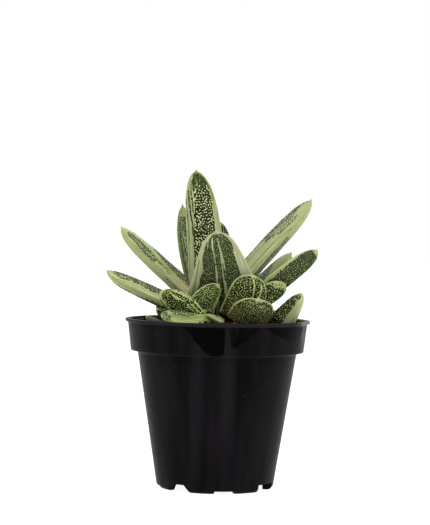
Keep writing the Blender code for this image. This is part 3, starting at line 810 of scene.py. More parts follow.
WART_STYLES = {
    "few": Warts(1.0, 0.22, 1.8, -0.02, wart_skin("wart_pale", "#9aa578", "#ccd2a8")),
    "worms": Warts(1.04, 0.26, 3.4, 0.2, wart_skin("wart_cream", "#afb37a", "#e8eabc")),
    "dots": Warts(0.88, 0.205, 3.2, 0.2, wart_skin("wart_green", "#7f8f45", "#d3db98")),
    "green": Warts(0.74, 0.225, 3.2, 0.2, wart_skin("wart_leafy", "#6e8133", "#bac87a")),
    "fine": Warts(0.78, 0.19, 2.4, 0.2, wart_skin("wart_grey", "#616e36", "#aeb57a")),
    "ruddy": Warts(0.78, 0.215, 2.6, 0.2, wart_skin("wart_ruddy", "#868c46", "#d2d592")),
}
print("wart styles:", ", ".join(WART_STYLES))

# %% [markdown]
# Warts and crumbs of soil are both small things strewn over a surface, which is what Geometry Nodes
# are good at. These helpers hold what the two trees share: named inputs, points with a least
# distance between them, and real copies joined with the surface that they lie on.

# %% Strewing helpers
MOST_POINTS = 3e6  # to a square metre, so that only the least distance thins them out


def new_tree(name, surface, inputs):
    """A Geometry Nodes tree that takes and gives a surface, and its inputs by name."""
    tree = bpy.data.node_groups.new(name, "GeometryNodeTree")
    for label, kind in {surface: "Geometry", **inputs}.items():
        tree.interface.new_socket(label, in_out="INPUT", socket_type="NodeSocket" + kind)
    tree.interface.new_socket(surface, in_out="OUTPUT", socket_type="NodeSocketGeometry")
    return tree, add(tree, "NodeGroupInput").outputs


def strewn_points(tree, given, surface, room, least):
    """Points on a surface where the value that it stores as its room is more than the least."""
    value = add(tree, "GeometryNodeInputNamedAttribute", {"Name": room}, data_type="FLOAT")
    return add(tree, "GeometryNodeDistributePointsOnFaces", {
        "Mesh": given[surface], "Selection": calc(tree, "GREATER_THAN", value, least),
        "Distance Min": given["Spacing"], "Density Max": MOST_POINTS, "Seed": given["Seed"],
    }, distribute_method="POISSON").outputs


def chance(tree, low, high, seed=0, kind="FLOAT"):
    """A random value for each copy."""
    inputs = {"Min": low, "Max": high, "Seed": seed}
    return add(tree, "FunctionNodeRandomValue", inputs, data_type=kind)


def joined_copies(tree, copies, surface, name, value, kind):
    """Real copies, each with a stored value, joined with the surface."""
    marked = add(tree, "GeometryNodeStoreNamedAttribute", {
        "Geometry": copies, "Name": name, "Value": value}, data_type=kind, domain="INSTANCE")
    joined = add(tree, "GeometryNodeJoinGeometry")
    for part in (marked.outputs[0], surface):
        tree.links.new(part, joined.inputs[0])
    return add(tree, "GeometryNodeRealizeInstances", {"Geometry": joined})


def run_tree(piece, tree, values):
    """Run a tree on a piece, its inputs set by identifier, and bake what it makes."""
    modifier = piece.modifiers.new(tree.name, "NODES")
    modifier.node_group = tree
    for socket in tree.interface.items_tree:
        if socket.in_out == "INPUT" and socket.name in values:
            modifier[socket.identifier] = values[socket.name]
    return bake_modifiers(piece)


# %% [markdown]
# Geometry Nodes set the warts on the leaf. Points are spread over the dark skin with a least
# distance between them, as warts crowd each other out, and each point gets a low dome that is
# turned at random and stretched by a random amount. The longest ones make the short worms on the
# tall leaf.

# %% Warts by Geometry Nodes
WART_RINGS = 4
WART_SEGMENTS = 6
WART_HEIGHT = 0.75  # of its radius
WART_GIRTHS = (0.75, 1.2)  # the thinnest and the thickest, to the radius that its leaf gives


def warts_tree():
    tree, given = new_tree("warts", "Leaf", {
        "Spacing": "Float", "Radius": "Float", "Stretch": "Float", "Least depth": "Float",
        "Seed": "Int", "Wart skin": "Material"})
    spread = strewn_points(tree, given, "Leaf", "wart_room", given["Least depth"])
    spin = add(tree, "FunctionNodeAxisAngleToRotation", {
        "Axis": (0, 0, 1), "Angle": chance(tree, 0.0, 2 * math.pi)})
    rotation = add(tree, "FunctionNodeRotateRotation", {
        "Rotation": spread["Rotation"], "Rotate By": spin}, rotation_space="LOCAL")
    stretch = chance(tree, 1.0, given["Stretch"], seed=1)
    girth = chance(tree, *WART_GIRTHS, seed=2)
    scale = add(tree, "ShaderNodeCombineXYZ", {
        "X": product(tree, stretch, girth), "Y": girth, "Z": product(tree, girth, WART_HEIGHT)})
    dome = add(tree, "GeometryNodeMeshUVSphere", {
        "Segments": WART_SEGMENTS, "Rings": WART_RINGS, "Radius": given["Radius"]})
    domes = add(tree, "GeometryNodeInstanceOnPoints", {
        "Points": spread["Points"], "Instance": dome, "Rotation": rotation, "Scale": scale})
    real = joined_copies(tree, domes, given["Leaf"], "wart", True, "BOOLEAN")
    wart = add(tree, "GeometryNodeInputNamedAttribute", {"Name": "wart"}, data_type="BOOLEAN")
    coloured = add(tree, "GeometryNodeSetMaterial", {
        "Geometry": real, "Selection": wart, "Material": given["Wart skin"]})
    add(tree, "NodeGroupOutput", {"Leaf": coloured})
    return tree


warts_on_leaf = warts_tree()


def add_warts(piece, style, seed):
    """Set warts on a leaf, and tell how many."""
    warts = WART_STYLES[style]
    before = len(piece.data.polygons)
    faces = run_tree(piece, warts_on_leaf, {
        "Spacing": warts.spacing * MM, "Radius": warts.radius * MM, "Stretch": warts.stretch,
        "Least depth": warts.least_depth, "Seed": seed, "Wart skin": warts.skin})
    return (faces - before) // (WART_SEGMENTS * WART_RINGS)


print("warts tree:", len(warts_on_leaf.nodes), "nodes")

# %% [markdown]
# Most marks run along a leaf, so the columns of its fine mesh are closer together than its rows.
# The rows crowd together towards the tip, where the outline turns fastest. Along with its points,
# each row and column keeps its place on the leaf, because the marks are drawn from those places.

# %% Fine mesh of a leaf
FINE_ROW = 0.75  # mm between rows
FINE_COLUMN = 0.42  # mm between columns
GIRTH = 2.2  # a leaf is about this many times its width round
LAST_ROW = 0.997  # the rows crowd up to here, and the tip's own rows follow
CROWDING = 1.5


def fine_grid(leaf):
    """A leaf's points by row and column, its point, and the places along, across and round it."""
    rows = round(leaf.length / FINE_ROW) + TIP_ROWS
    columns = 4 * round(leaf.width * GIRTH / FINE_COLUMN / 4)
    along = LAST_ROW * (1 - (1 - np.linspace(0, 1, rows)) ** CROWDING)
    turn = 2 * math.pi * (np.arange(columns) + 0.5) / columns
    points, across = leaf_grid(leaf, along, turn)
    tip_rows, point = close_tip(leaf, points[-1])
    points = np.concatenate([points, tip_rows])
    tip_along = LAST_ROW + (1 - LAST_ROW) * np.arange(1, TIP_ROWS) / TIP_ROWS
    along = np.concatenate([along, tip_along])
    across = np.concatenate([across, np.repeat(across[-1:], TIP_ROWS - 1, axis=0)])
    return points, point, along, across, turn


def grid_faces(rows, columns):
    """Quads between the rows, a fan round the point and one face over the foot."""
    last = rows * columns
    index = np.arange(last).reshape(rows, columns)
    faces = []
    for low, high in zip(index, index[1:]):
        faces += zip(low, high, np.roll(high, -1), np.roll(low, -1))
    faces += [(a, last, b) for a, b in zip(index[-1], np.roll(index[-1], -1))]
    faces.append(index[0])
    return [tuple(map(int, face)) for face in faces]


def unwrap(mesh, columns, ends, girth, length):
    """A UV map in tenths of a metre, with its seam where the last column meets the first."""
    uv = mesh.uv_layers.new(name="leaf")
    for polygon in mesh.polygons:
        corner_columns = [mesh.loops[i].vertex_index % columns for i in polygon.loop_indices]
        wraps = polygon.loop_total < 5 and max(corner_columns) - min(corner_columns) > 1
        for i, column in zip(polygon.loop_indices, corner_columns):
            vertex = mesh.loops[i].vertex_index
            if wraps and column == 0:
                column = columns
            uv.data[i].uv = (column / columns * girth, ends[vertex] * length)


print("grid of the tall leaf:", fine_grid(LEAVES[0])[0].shape[:2])

# %% [markdown]
# What the shader reads is stored on the mesh: the distance to the dark and to the green, and the
# tints. These run slowly from the foot to the tip, where the brown of dry skin begins just short of
# the point.

# %% Skin of one leaf
FOOT_BLUSH = 0.55  # of the length from the foot
TIP_BLUSH = 0.955  # of the length, where the dry tip starts
TIP_BLUSH_FADE = 0.04
MOST_BLUSH = 0.85
NOISE_STEP = 3.7  # from one leaf to the next, so that no two have the same grain
POINT_FIELD = -1.0  # mm, because the very point is never dark


def leaf_tints(look, ends, cream_field, number):
    """Four values for each point: how cream, how brown and how slate, and a place in the noise."""
    tints = np.zeros((len(ends), 4), dtype=np.float32)
    tints[:, 0] = look.cream[0] + (look.cream[1] - look.cream[0]) * ends
    tints[:, 0] = np.clip(np.maximum(tints[:, 0], 0.5 + cream_field), 0, 1)
    foot = look.blush[0] * np.clip(1 - ends / FOOT_BLUSH, 0, 1)
    tip = look.blush[1] * np.clip((ends - TIP_BLUSH) / TIP_BLUSH_FADE, 0, 1)
    tints[:, 1] = np.clip(foot + tip, 0, MOST_BLUSH)
    tints[:, 2] = look.slate
    tints[:, 3] = number * NOISE_STEP
    return tints


def leaf_piece(leaf, number):
    """A leaf's fine skin as a piece, and its distance to the dark."""
    look = LOOKS[leaf.name]
    points, point, along, across, turn = fine_grid(leaf)
    rows, columns = across.shape
    points = [*map(tuple, points.reshape(-1, 3)), tuple(point)]
    piece = mesh_piece(leaf.name + "_skin", points, grid_faces(rows, columns), skin)

    upper = np.sin(turn)[None, :] > 0
    grid = np.broadcast_to(along[:, None], across.shape)
    above, below = (mark_fields(leaf, marks, grid, across) for marks in (look.upper, look.under))
    fields = {tone: np.append(np.where(upper, above[tone], below[tone]), POINT_FIELD)
              for tone in above}
    ends = np.append(grid.ravel(), 1.0)
    for tone in ("dark", "green"):
        store(piece.data, tone, "FLOAT", fields[tone])
    store(piece.data, "tints", "FLOAT_COLOR", leaf_tints(look, ends, fields["cream"], number))
    unwrap(piece.data, columns, ends, leaf.width * GIRTH / UV_TO_MM, leaf.length / UV_TO_MM)
    return piece, fields["dark"]


# %% [markdown]
# All the skins are made before any wart is set, so that each leaf can tell where its neighbours
# lie. Slow undulations and small pebbles are pushed into each skin as real relief.

# %% Build the leaves
UNDULATION = 0.16 * MM
UNDULATION_LENGTH = 7.0 * MM
PEBBLE = 0.035 * MM
PEBBLE_LENGTH = 1.1 * MM


def relieve(mesh):
    """Push the skin in and out by slow waves and small pebbles."""
    normals = np.empty(len(mesh.vertices) * 3)
    mesh.vertices.foreach_get("normal", normals)
    moved = []
    for vertex, normal in zip(mesh.vertices, normals.reshape(-1, 3)):
        wave = noise.noise(vertex.co / UNDULATION_LENGTH) * UNDULATION
        pebble = noise.noise(vertex.co / PEBBLE_LENGTH) * PEBBLE
        moved.append(vertex.co + Vector(normal) * (wave + pebble))
    for vertex, place in zip(mesh.vertices, moved):
        vertex.co = place


skins = []
for number, leaf in enumerate(LEAVES):
    piece, field = leaf_piece(leaf, number)
    relieve(piece.data)
    skins.append((leaf, piece, field))
print(len(skins), "skins,", sum(len(piece.data.polygons) for _, piece, _ in skins), "faces")

# %% [markdown]
# Warts would grow through a neighbour where two leaves touch, and be buried where a leaf stands in
# the soil. A search tree of each leaf's faces tells where another leaf covers the skin, and no wart
# stands there.

# %% Room for the warts
COVER = 0.25 * MM  # warts keep this far from another leaf
COVER_DEPTH = 1.2 * MM  # and off skin that lies up to this deep inside one
SOIL_LINE = 75.5 * MM
WORTH_A_LOOK = 0.2  # mm into the dark; short of this, most styles set no warts
NO_ROOM = -1.0

spots = {leaf.name: np.array([v.co for v in piece.data.vertices]) for leaf, piece, _ in skins}
trees = {
    leaf.name: BVHTree.FromPolygons(
        [v.co for v in piece.data.vertices], [p.vertices for p in piece.data.polygons])
    for leaf, piece, _ in skins
}


def neighbours(name):
    """The leaves whose boxes meet this one's."""
    low, high = spots[name].min(axis=0), spots[name].max(axis=0)
    return [other for other, places in spots.items() if other != name
            and (places.min(axis=0) < high).all() and (places.max(axis=0) > low).all()]


def covered(place, near):
    for other in near:
        spot, normal, _, distance = trees[other].find_nearest(place, COVER_DEPTH)
        if spot is not None and (distance < COVER or (place - spot).dot(normal) < 0):
            return True
    return False


def wart_room(piece, name, field):
    """The distance to the dark, but none where the skin is covered or in the soil."""
    near = neighbours(name)
    room = field.copy()
    for vertex in piece.data.vertices:
        place = vertex.co
        if room[vertex.index] > WORTH_A_LOOK and (place.z < SOIL_LINE or covered(place, near)):
            room[vertex.index] = NO_ROOM
    return room


total_warts = 0
for number, (leaf, piece, field) in enumerate(skins):
    store(piece.data, "wart_room", "FLOAT", wart_room(piece, leaf.name, field))
    style = LOOKS[leaf.name].warts
    if style != "none":
        warts = add_warts(piece, style, number)
        total_warts += warts
        print(f"{leaf.name}: {warts} warts")
    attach(piece, "root")
    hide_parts(leaf.name)
print(total_warts, "warts")

# %% [markdown]
# The pot is the thinnest kind of injection moulding, so its whole wall is turned from one profile:
# a small lip, a collar, a shoulder and a tapered body on a ring foot. It repeats the part's own
# sizes, with rounded corners and four times as many sides.

# %% Sizes of the pot
POT_HEIGHT = 77.4 * MM
POT_WALL = 1.0 * MM
LIP_RADIUS = 42.5 * MM
LIP_HEIGHT = 1.2 * MM
COLLAR_TOP_RADIUS = 41.3 * MM
COLLAR_FOOT_RADIUS = 39.75 * MM
COLLAR_FOOT_Z = 62.9 * MM
BODY_TOP_RADIUS = 36.5 * MM
BODY_TOP_Z = 61.6 * MM
BODY_FOOT_RADIUS = 27.2 * MM
FOOT_RADIUS = 25.2 * MM
FOOT_INNER_RADIUS = 22.6 * MM
FOOT_ROUNDING = 3.2 * MM
FLOOR_RAISE = 3.8 * MM
FLOOR_TOP = FLOOR_RAISE + POT_WALL
PAD_RADIUS = 9.5 * MM
PAD_SLOPE = 3.0 * MM
CORNER_ROUNDING = 0.35 * MM
ROUNDING_SHARE = 0.45  # of a side of the profile, at most, goes into a rounded corner
POT_SIDES = 192
print("pot:", round(2 * LIP_RADIUS / MM), "mm wide,", round(POT_HEIGHT / MM), "mm high")


# %% Profile of the pot
def rounded(profile, radius):
    """A profile whose inner corners are replaced by short arcs of about that radius."""
    points = [Vector(profile[0])]
    for before, corner, after in zip(profile, profile[1:], profile[2:]):
        corner = Vector(corner)
        start, end = (
            corner + side.normalized() * min(radius, side.length * ROUNDING_SHARE)
            for side in (Vector(before) - corner, Vector(after) - corner))
        for s in (0, 1 / 3, 2 / 3, 1):
            points.append(start * (1 - s) ** 2 + corner * 2 * s * (1 - s) + end * s * s)
    points.append(Vector(profile[-1]))
    return points


def foot_arc():
    points = []
    for degrees in (30, 60, 90):
        turn = math.radians(degrees)
        radius = FOOT_RADIUS + (BODY_FOOT_RADIUS - FOOT_RADIUS) * math.cos(turn)
        points.append((radius, FOOT_ROUNDING * (1 - math.sin(turn))))
    return points


def pot_profile():
    inside = [
        (0.0, POT_WALL), (PAD_RADIUS - POT_WALL / 2, POT_WALL),
        (PAD_RADIUS + PAD_SLOPE - POT_WALL / 2, FLOOR_TOP),
        (BODY_FOOT_RADIUS - POT_WALL, FLOOR_TOP),
        (BODY_TOP_RADIUS - POT_WALL, BODY_TOP_Z + POT_WALL),
        (COLLAR_FOOT_RADIUS - POT_WALL, COLLAR_FOOT_Z + POT_WALL),
        (COLLAR_TOP_RADIUS - POT_WALL, POT_HEIGHT),
    ]
    outside = [
        (LIP_RADIUS, POT_HEIGHT), (LIP_RADIUS, POT_HEIGHT - LIP_HEIGHT),
        (COLLAR_TOP_RADIUS, POT_HEIGHT - LIP_HEIGHT - POT_WALL / 3),
        (COLLAR_FOOT_RADIUS, COLLAR_FOOT_Z),
        (BODY_TOP_RADIUS + POT_WALL / 2, COLLAR_FOOT_Z - POT_WALL / 2),
        (BODY_TOP_RADIUS, BODY_TOP_Z), (BODY_FOOT_RADIUS, FOOT_ROUNDING),
    ]
    underside = [
        (FOOT_INNER_RADIUS, 0.0), (FOOT_INNER_RADIUS, FLOOR_RAISE),
        (PAD_RADIUS + PAD_SLOPE, FLOOR_RAISE), (PAD_RADIUS, 0.0), (0.0, 0.0),
    ]
    return rounded(inside + outside + foot_arc() + underside, CORNER_ROUNDING)


print("profile of", len(pot_profile()), "points")


# %% Turning
def turned(name, profile, sides, material):
    """Turn a profile of vectors (radius, height), which starts and ends on the axis, round Z."""
    points = [(0.0, 0.0, profile[0][1]), (0.0, 0.0, profile[-1][1])]
    rings = []
    for radius, height in profile[1:-1]:
        ring = []
        for side in range(sides):
            turn = 2 * math.pi * side / sides
            ring.append(len(points))
            points.append((radius * math.sin(turn), -radius * math.cos(turn), height))
        rings.append(ring)
    faces = []
    for i in range(sides):
        j = (i + 1) % sides
        faces.append((0, rings[0][i], rings[0][j]))
        faces += [(high[i], low[i], low[j], high[j]) for high, low in zip(rings, rings[1:])]
        faces.append((rings[-1][i], 1, rings[-1][j]))
    return mesh_piece(name, points, faces, material)


# %% [markdown]
# The foot has two pairs of notches, and shallow recesses between them, which let water out from
# under the pot. Slots behind the notches drain the inside. All are wedges of the turned shape, so
# each is made as a small solid, and one Boolean takes them all out.

# %% Notches and drain slots
# the middle of each notch and its half angles below and above, in degrees
NOTCHES = ((-40.0, 16.0, 9.0), (61.0, 14.0, 14.0), (140.0, 16.0, 9.0), (241.0, 14.0, 14.0))
NOTCH_HEIGHT = 3.5 * MM
RECESSES = (10.0, 100.0, 190.0, 280.0)
RECESS_HALF_ANGLES = (12.0, 10.0)
RECESS_HEIGHT = 1.3 * MM
DRAIN_RADII = (14.5 * MM, 20.5 * MM)
DRAIN_HALF_ANGLES = (9.0, 9.0)
SPARE = 1 * MM  # a cutter sticks out this far, or twice as far where the pot slopes


def polar(radius, degrees, height):
    turn = math.radians(degrees)
    return Vector((radius * math.sin(turn), -radius * math.cos(turn), height))


def wedge(middle, half_angles, radii, heights):
    """A solid between two radii and two heights, as wide as the half angles at each height say."""
    bm = bmesh.new()
    corners = []
    for height, half in zip(heights, half_angles):
        for radius in radii:
            for side in (-1, 1):
                corners.append(bm.verts.new(polar(radius, middle + side * half, height)))
    bmesh.ops.convex_hull(bm, input=corners)
    mesh = bpy.data.meshes.new("wedge")
    bm.to_mesh(mesh)
    bm.free()
    return mesh


def foot_cutters():
    ring = (FOOT_INNER_RADIUS - SPARE, BODY_FOOT_RADIUS + 2 * SPARE)
    through = (FLOOR_RAISE - SPARE, FLOOR_TOP + SPARE)
    cutters = []
    for middle, *half_angles in NOTCHES:
        cutters.append(wedge(middle, half_angles, ring, (-SPARE, NOTCH_HEIGHT)))
        cutters.append(wedge(middle, DRAIN_HALF_ANGLES, DRAIN_RADII, through))
    for middle in RECESSES:
        cutters.append(wedge(middle, RECESS_HALF_ANGLES, ring, (-SPARE, RECESS_HEIGHT)))
    return cutters


def collected(name, meshes):
    """A collection of objects made of meshes, for a tool that works on many at once."""
    group = bpy.data.collections.new(name)
    bpy.context.scene.collection.children.link(group)
    for number, mesh in enumerate(meshes):
        group.objects.link(bpy.data.objects.new(f"{name}_{number}", mesh))
    return group


def discard(group):
    for member in list(group.objects):
        bpy.data.objects.remove(member, do_unlink=True)
    bpy.data.collections.remove(group)


def cut_with(piece, meshes):
    """Take shapes out of a piece with one Boolean."""
    group = collected("cutter", meshes)
    boolean = piece.modifiers.new("cut", "BOOLEAN")
    boolean.operand_type = "COLLECTION"
    boolean.collection = group
    bpy.context.view_layer.update()
    faces = bake_modifiers(piece)
    discard(group)
    return faces


cutters = foot_cutters()
print(len(cutters), "cutters for the foot")

# %% [markdown]
# Cheap black pots are never quite black. Reused plastic leaves vertical flow streaks, and dust
# dulls the outside to a very dark grey. Two lighter stripes down the front are painted reflections,
# and the lighter band on the lip is partly dust and partly a painted highlight. Darker triangles
# that hang from the rim are painted shadows of the leaves on the collar. They are made as a
# distance again, which is stored on the mesh and cut off by the shader. At the right end of the rim
# mud has dried to a crust, and under it a pale run goes down the collar.

# %% Pot plastic
# painted reflections: two lighter vertical stripes down the front, in mm to the right
REFLECTION_STRIPES = ((-11.0 * MM, -7.0 * MM), (3.0 * MM, 7.5 * MM))  # two broader ones on the front


def between(tree, value, left, right):
    """One between two soft edges, each given by where it starts and where it is full."""
    return product(tree, remap(tree, value, *left), remap(tree, value, *right))


def pot_haze_and_painted_light(tree, dust, deep_scratches):
    """The pot's colour outside its painted shadows, layer upon layer, painted light included."""
    streaks = lumps(tree, place_in_piece(tree, 110.0, 110.0, 4.0), 1.0, Detail=2.0)
    bare = blend(tree, remap(tree, streaks, 0.35, 0.65), "#080708", "#131113")
    x, y, z = add(tree, "ShaderNodeSeparateXYZ", {"Vector": place_in_piece(tree)}).outputs
    front = remap(tree, y, 0.0, -10 * MM)
    fade = remap(tree, z, 5 * MM, 40 * MM, 0.4, 1.0)
    # painted reflections, on the front half alone and fading towards the foot
    painted_reflections = []
    for left, right in REFLECTION_STRIPES:
        band = between(tree, x, (left - 2 * MM, left + 1 * MM), (right + 2 * MM, right - 1 * MM))
        painted_reflections.append((product(tree, band, front, fade, 0.4), "#201e22"))
    # a lighter band on the lip's face: partly dust on the edge, partly a painted highlight
    lip_dust_and_highlight = remap(tree, z, POT_HEIGHT - 1.9 * MM, POT_HEIGHT - 1.2 * MM, 0.0, 0.75)
    run = between(tree, x, (37.6 * MM, 38.6 * MM), (40.2 * MM, 39.4 * MM))
    crust = product(
        tree, remap(tree, x, 35.5 * MM, 38.5 * MM),
        remap(tree, z, POT_HEIGHT - 2.4 * MM, POT_HEIGHT - 1.4 * MM),
        remap(tree, dust, 0.42, 0.54, 0.1, 0.9))
    return lay_over(
        tree, bare, (remap(tree, dust, 0.62, 0.8, 0.0, 0.5), "#1c1b1f"), *painted_reflections, (lip_dust_and_highlight, "#222125"),
        (product(tree, run, remap(tree, z, 62 * MM, 74 * MM, 0.2, 0.9)), "#454345"),
        (crust, "#6f6453"), (product(tree, deep_scratches, 0.35), "#3a383b"))


def pot_plastic():
    made, tree, shader = new_material(
        "pot_plastic", Specular_IOR_Level=0.02, Sheen_Weight=0.03, Sheen_Roughness=0.4)
    place = place_in_piece(tree)
    dust = lumps(tree, place, 260.0, Detail=5.0, Roughness=0.65)
    scratches = lumps(tree, place_in_piece(tree, 240.0, 240.0, 1700.0), 1.0, Detail=1.0)
    deep_scratches = remap(tree, scratches, 0.74, 0.8)
    # painted shade: the leaves' shadows on the collar, near black where the stored distance is high
    ragged = calc(tree, "ADD", stored(tree, "washed"), remap(tree, dust, 0.3, 0.7, -0.2, 0.2))
    in_leaf_shadow = remap(tree, ragged, -0.2, 0.2)
    mixed = blend(tree, in_leaf_shadow, pot_haze_and_painted_light(tree, dust, deep_scratches), "#010101")
    plug(tree, shader.inputs["Roughness"], remap(tree, dust, 0.3, 0.7, 0.34, 0.46))
    relief = calc(tree, "SUBTRACT", lumps(tree, place, 1800.0, Detail=2.0), deep_scratches)
    dress(tree, shader, mixed, relief, 0.12, 0.15 * MM)
    return made


plastic = pot_plastic()
print("pot plastic:", len(plastic.node_tree.nodes), "nodes")

# %% [markdown]
# A painted shadow needs points to be stored on, and a turned collar has none between its top and
# its foot. So it gets a ring every millimetre before it is turned.

# %% Painted leaf shadows and the pot itself
# the most that the distance into each painted shadow may reach, where a low one darkens only half
# way, and the corners of the shadow: mm to the right and mm high
# painted shadows of the leaves, as triangles hanging from the rim of the collar
PAINTED_LEAF_SHADOWS = (
    (3.0, ((-15.5, 75.5), (3.2, 75.5), (3.0, 64.0), (-1.2, 62.0), (-6.5, 65.5), (-10.5, 69.8),
           (-12.0, 73.0))),
    (0.12, ((5.4, 75.5), (20.2, 75.5), (14.7, 71.8), (9.2, 66.4), (5.6, 64.8))),
    (3.0, ((21.3, 75.5), (38.7, 75.5), (38.4, 73.0), (36.3, 70.0), (34.0, 69.2), (31.5, 69.8),
           (28.0, 71.2))),
)
SHARP = math.radians(35)


def polygon_distance(x, z, corners):
    """Signed distance in mm from a point to a polygon, positive inside."""
    nearest, inside = math.inf, False
    for (ax, az), (bx, bz) in zip(corners, corners[1:] + corners[:1]):
        dx, dz = bx - ax, bz - az
        s = min(1.0, max(0.0, ((x - ax) * dx + (z - az) * dz) / (dx * dx + dz * dz)))
        nearest = min(nearest, math.hypot(x - ax - s * dx, z - az - s * dz))
        if (az > z) != (bz > z) and x < ax + (z - az) / (bz - az) * dx:
            inside = not inside
    return nearest if inside else -nearest


def washed(place):
    """How far a place on the pot lies inside a painted leaf shadow on its collar's front, in mm."""
    x, y, z = place / MM
    # on the collar, up to 2 mm below it and no more than 1.5 mm in
    on_collar = z > COLLAR_FOOT_Z / MM - 2 and math.hypot(x, y) > COLLAR_FOOT_RADIUS / MM - 1.5
    if y >= 0 or not on_collar:
        return OUTSIDE
    return max(OUTSIDE, *(min(most, polygon_distance(x, z, corners)) for most, corners in PAINTED_LEAF_SHADOWS))


def ringed(profile):
    """The profile with a point every millimetre down the outside of the collar."""
    fine = [profile[0]]
    outer = COLLAR_FOOT_RADIUS - POT_WALL / 2
    for before, after in zip(profile, profile[1:]):
        on_collar = before.y > COLLAR_FOOT_Z and before.x > outer and before.y > after.y
        steps = max(1, round((after - before).length / MM)) if on_collar else 1
        fine += [before.lerp(after, (step + 1) / steps) for step in range(steps)]
    return fine


pot = turned("pot_shell", ringed(pot_profile()), POT_SIDES, plastic)
print("pot", cut_with(pot, cutters), "faces")
pot.data.set_sharp_from_angle(angle=SHARP)
store(pot.data, "washed", "FLOAT", [washed(vertex.co) for vertex in pot.data.vertices])
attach(pot, "root")
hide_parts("pot")

# %% [markdown]
# The soil is peat: dark, matt and never one colour. Its material mixes a shade for each crumb,
# which the crumb stores, with finer noise that belongs to all of them.

# %% Peat
SHADES = (
    (0.0, "#110a04"), (0.45, "#1e1309"), (0.75, "#372112"), (0.9, "#66432c"), (0.97, "#8a6a4d"))


def peat_material():
    made, tree, shader = new_material("peat", Roughness=0.95, Specular_IOR_Level=0.08)
    grain = lumps(tree, place_in_piece(tree), 900.0, Detail=4.0, Roughness=0.7)
    ramp = add(tree, "ShaderNodeValToRGB", {"Fac": stored(tree, "tint")})
    ramp.color_ramp.elements.remove(ramp.color_ramp.elements[1])
    ramp.color_ramp.elements[0].color = colour(SHADES[0][1])
    for place, web in SHADES[1:]:
        ramp.color_ramp.elements.new(place).color = colour(web)
    shade = blend(tree, remap(tree, grain, 0.3, 0.7, 0.0, 0.8), ramp.outputs["Color"], "#0d0907")
    dress(tree, shader, shade, grain, 0.6, 0.3 * MM)
    return made


peat = peat_material()
print("peat:", len(SHADES), "shades")

# %% [markdown]
# The body of the soil is a disc that fills the pot, 0.3 mm clear of its wall. It is turned as the
# pot is, with many rings on its top, which are then lifted into lumps and a low mound.

# %% Soil body
SOIL_WALL_Z = 75.8  # mm
SOIL_MOUND = 1.3  # mm
SOIL_MOUND_RISE = 1.6  # over 1, so that the mound is flat in its middle
SOIL_LUMP = 0.6  # mm
SOIL_LUMP_LENGTH = 6.0  # mm
SOIL_GRIT = 0.25  # mm
SOIL_GRIT_LENGTH = 1.2  # mm
SOIL_RADIUS = 39.5  # mm
SOIL_SIDES = 160
SOIL_RINGS = 60
SOIL_GAP = 0.3 * MM


def soil_height(x, y):
    """Height of the soil's lumpy top in mm, at a place in mm."""
    nearness = max(0.0, 1 - math.hypot(x, y) / (COLLAR_TOP_RADIUS - POT_WALL) * MM)
    lump = noise.noise(Vector((x, y, 0.0)) / SOIL_LUMP_LENGTH)
    grit = noise.noise(Vector((x, y, 9.0)) / SOIL_GRIT_LENGTH) * SOIL_GRIT
    mound = SOIL_MOUND * min(1.0, SOIL_MOUND_RISE * nearness)
    return SOIL_WALL_Z + mound + SOIL_LUMP * lump + grit


def soil_body():
    top = SOIL_WALL_Z * MM
    slack = POT_WALL + SOIL_GAP
    profile = [(0.0, top)]
    profile += [(SOIL_RADIUS * MM * (i + 1) / SOIL_RINGS, top) for i in range(SOIL_RINGS)]
    profile += [
        (COLLAR_FOOT_RADIUS - slack, COLLAR_FOOT_Z + slack),
        (BODY_TOP_RADIUS - slack, BODY_TOP_Z + POT_WALL),
        (BODY_FOOT_RADIUS - slack, FLOOR_RAISE + slack),
        (PAD_RADIUS + PAD_SLOPE - slack, FLOOR_RAISE + slack),
        (PAD_RADIUS - POT_WALL / 2 - SOIL_GAP, slack), (0.0, slack),
    ]
    body = turned("soil_bed", [Vector(place) for place in profile], SOIL_SIDES, peat)
    for vertex in body.data.vertices:
        if vertex.co.z > top - 1 * MM:
            vertex.co.z = soil_height(vertex.co.x / MM, vertex.co.y / MM) * MM
    return body


body = soil_body()
print("soil body:", len(body.data.polygons), "faces")

# %% [markdown]
# Crumbs of several sizes and browns lie on the peat, with a few pale grains among them. Six lumpy
# stones are enough, because each copy is turned and sized at random. They are strewn as the warts
# are, over the open top alone. A power of the random size makes most crumbs small and a few large.

# %% Crumb shapes
CRUMB_KINDS = 6
CRUMB_RADIUS = 0.5 * MM
CRUMB_LUMP = 0.45
CRUMB_LUMP_LENGTH = 0.45 * MM


def crumb_mesh(kind):
    """A lumpy stone of about 1 mm, flatter or rounder by its kind."""
    bm = bmesh.new()
    bmesh.ops.create_icosphere(bm, subdivisions=1 if kind else 2, radius=CRUMB_RADIUS)
    stretch = Vector((1.0, 0.6 + 0.1 * kind, 0.55 + 0.05 * kind))
    for vert in bm.verts:
        place = vert.co / CRUMB_LUMP_LENGTH + Vector((kind * 7.0, 0, 0))
        lump = 1 + CRUMB_LUMP * noise.noise(place)
        vert.co = vert.co * stretch * lump
    mesh = bpy.data.meshes.new("crumb")
    bm.to_mesh(mesh)
    bm.free()
    return mesh


crumb_shapes = collected("crumb", [crumb_mesh(kind) for kind in range(CRUMB_KINDS)])

# %% Crumbs by Geometry Nodes
CRUMB_SPACING = 0.85 * MM
CRUMB_SEED = 5
CRUMB_SIZES = (0.75, 1.9)  # the smallest, and how much larger the largest is
CRUMB_RARITY = 2.5  # the higher, the fewer large crumbs there are
RIM_MARGIN = 0.6 * MM  # crumbs keep this far from the edge of the soil
TOP_Z = 74 * MM  # the top of the soil is all above this


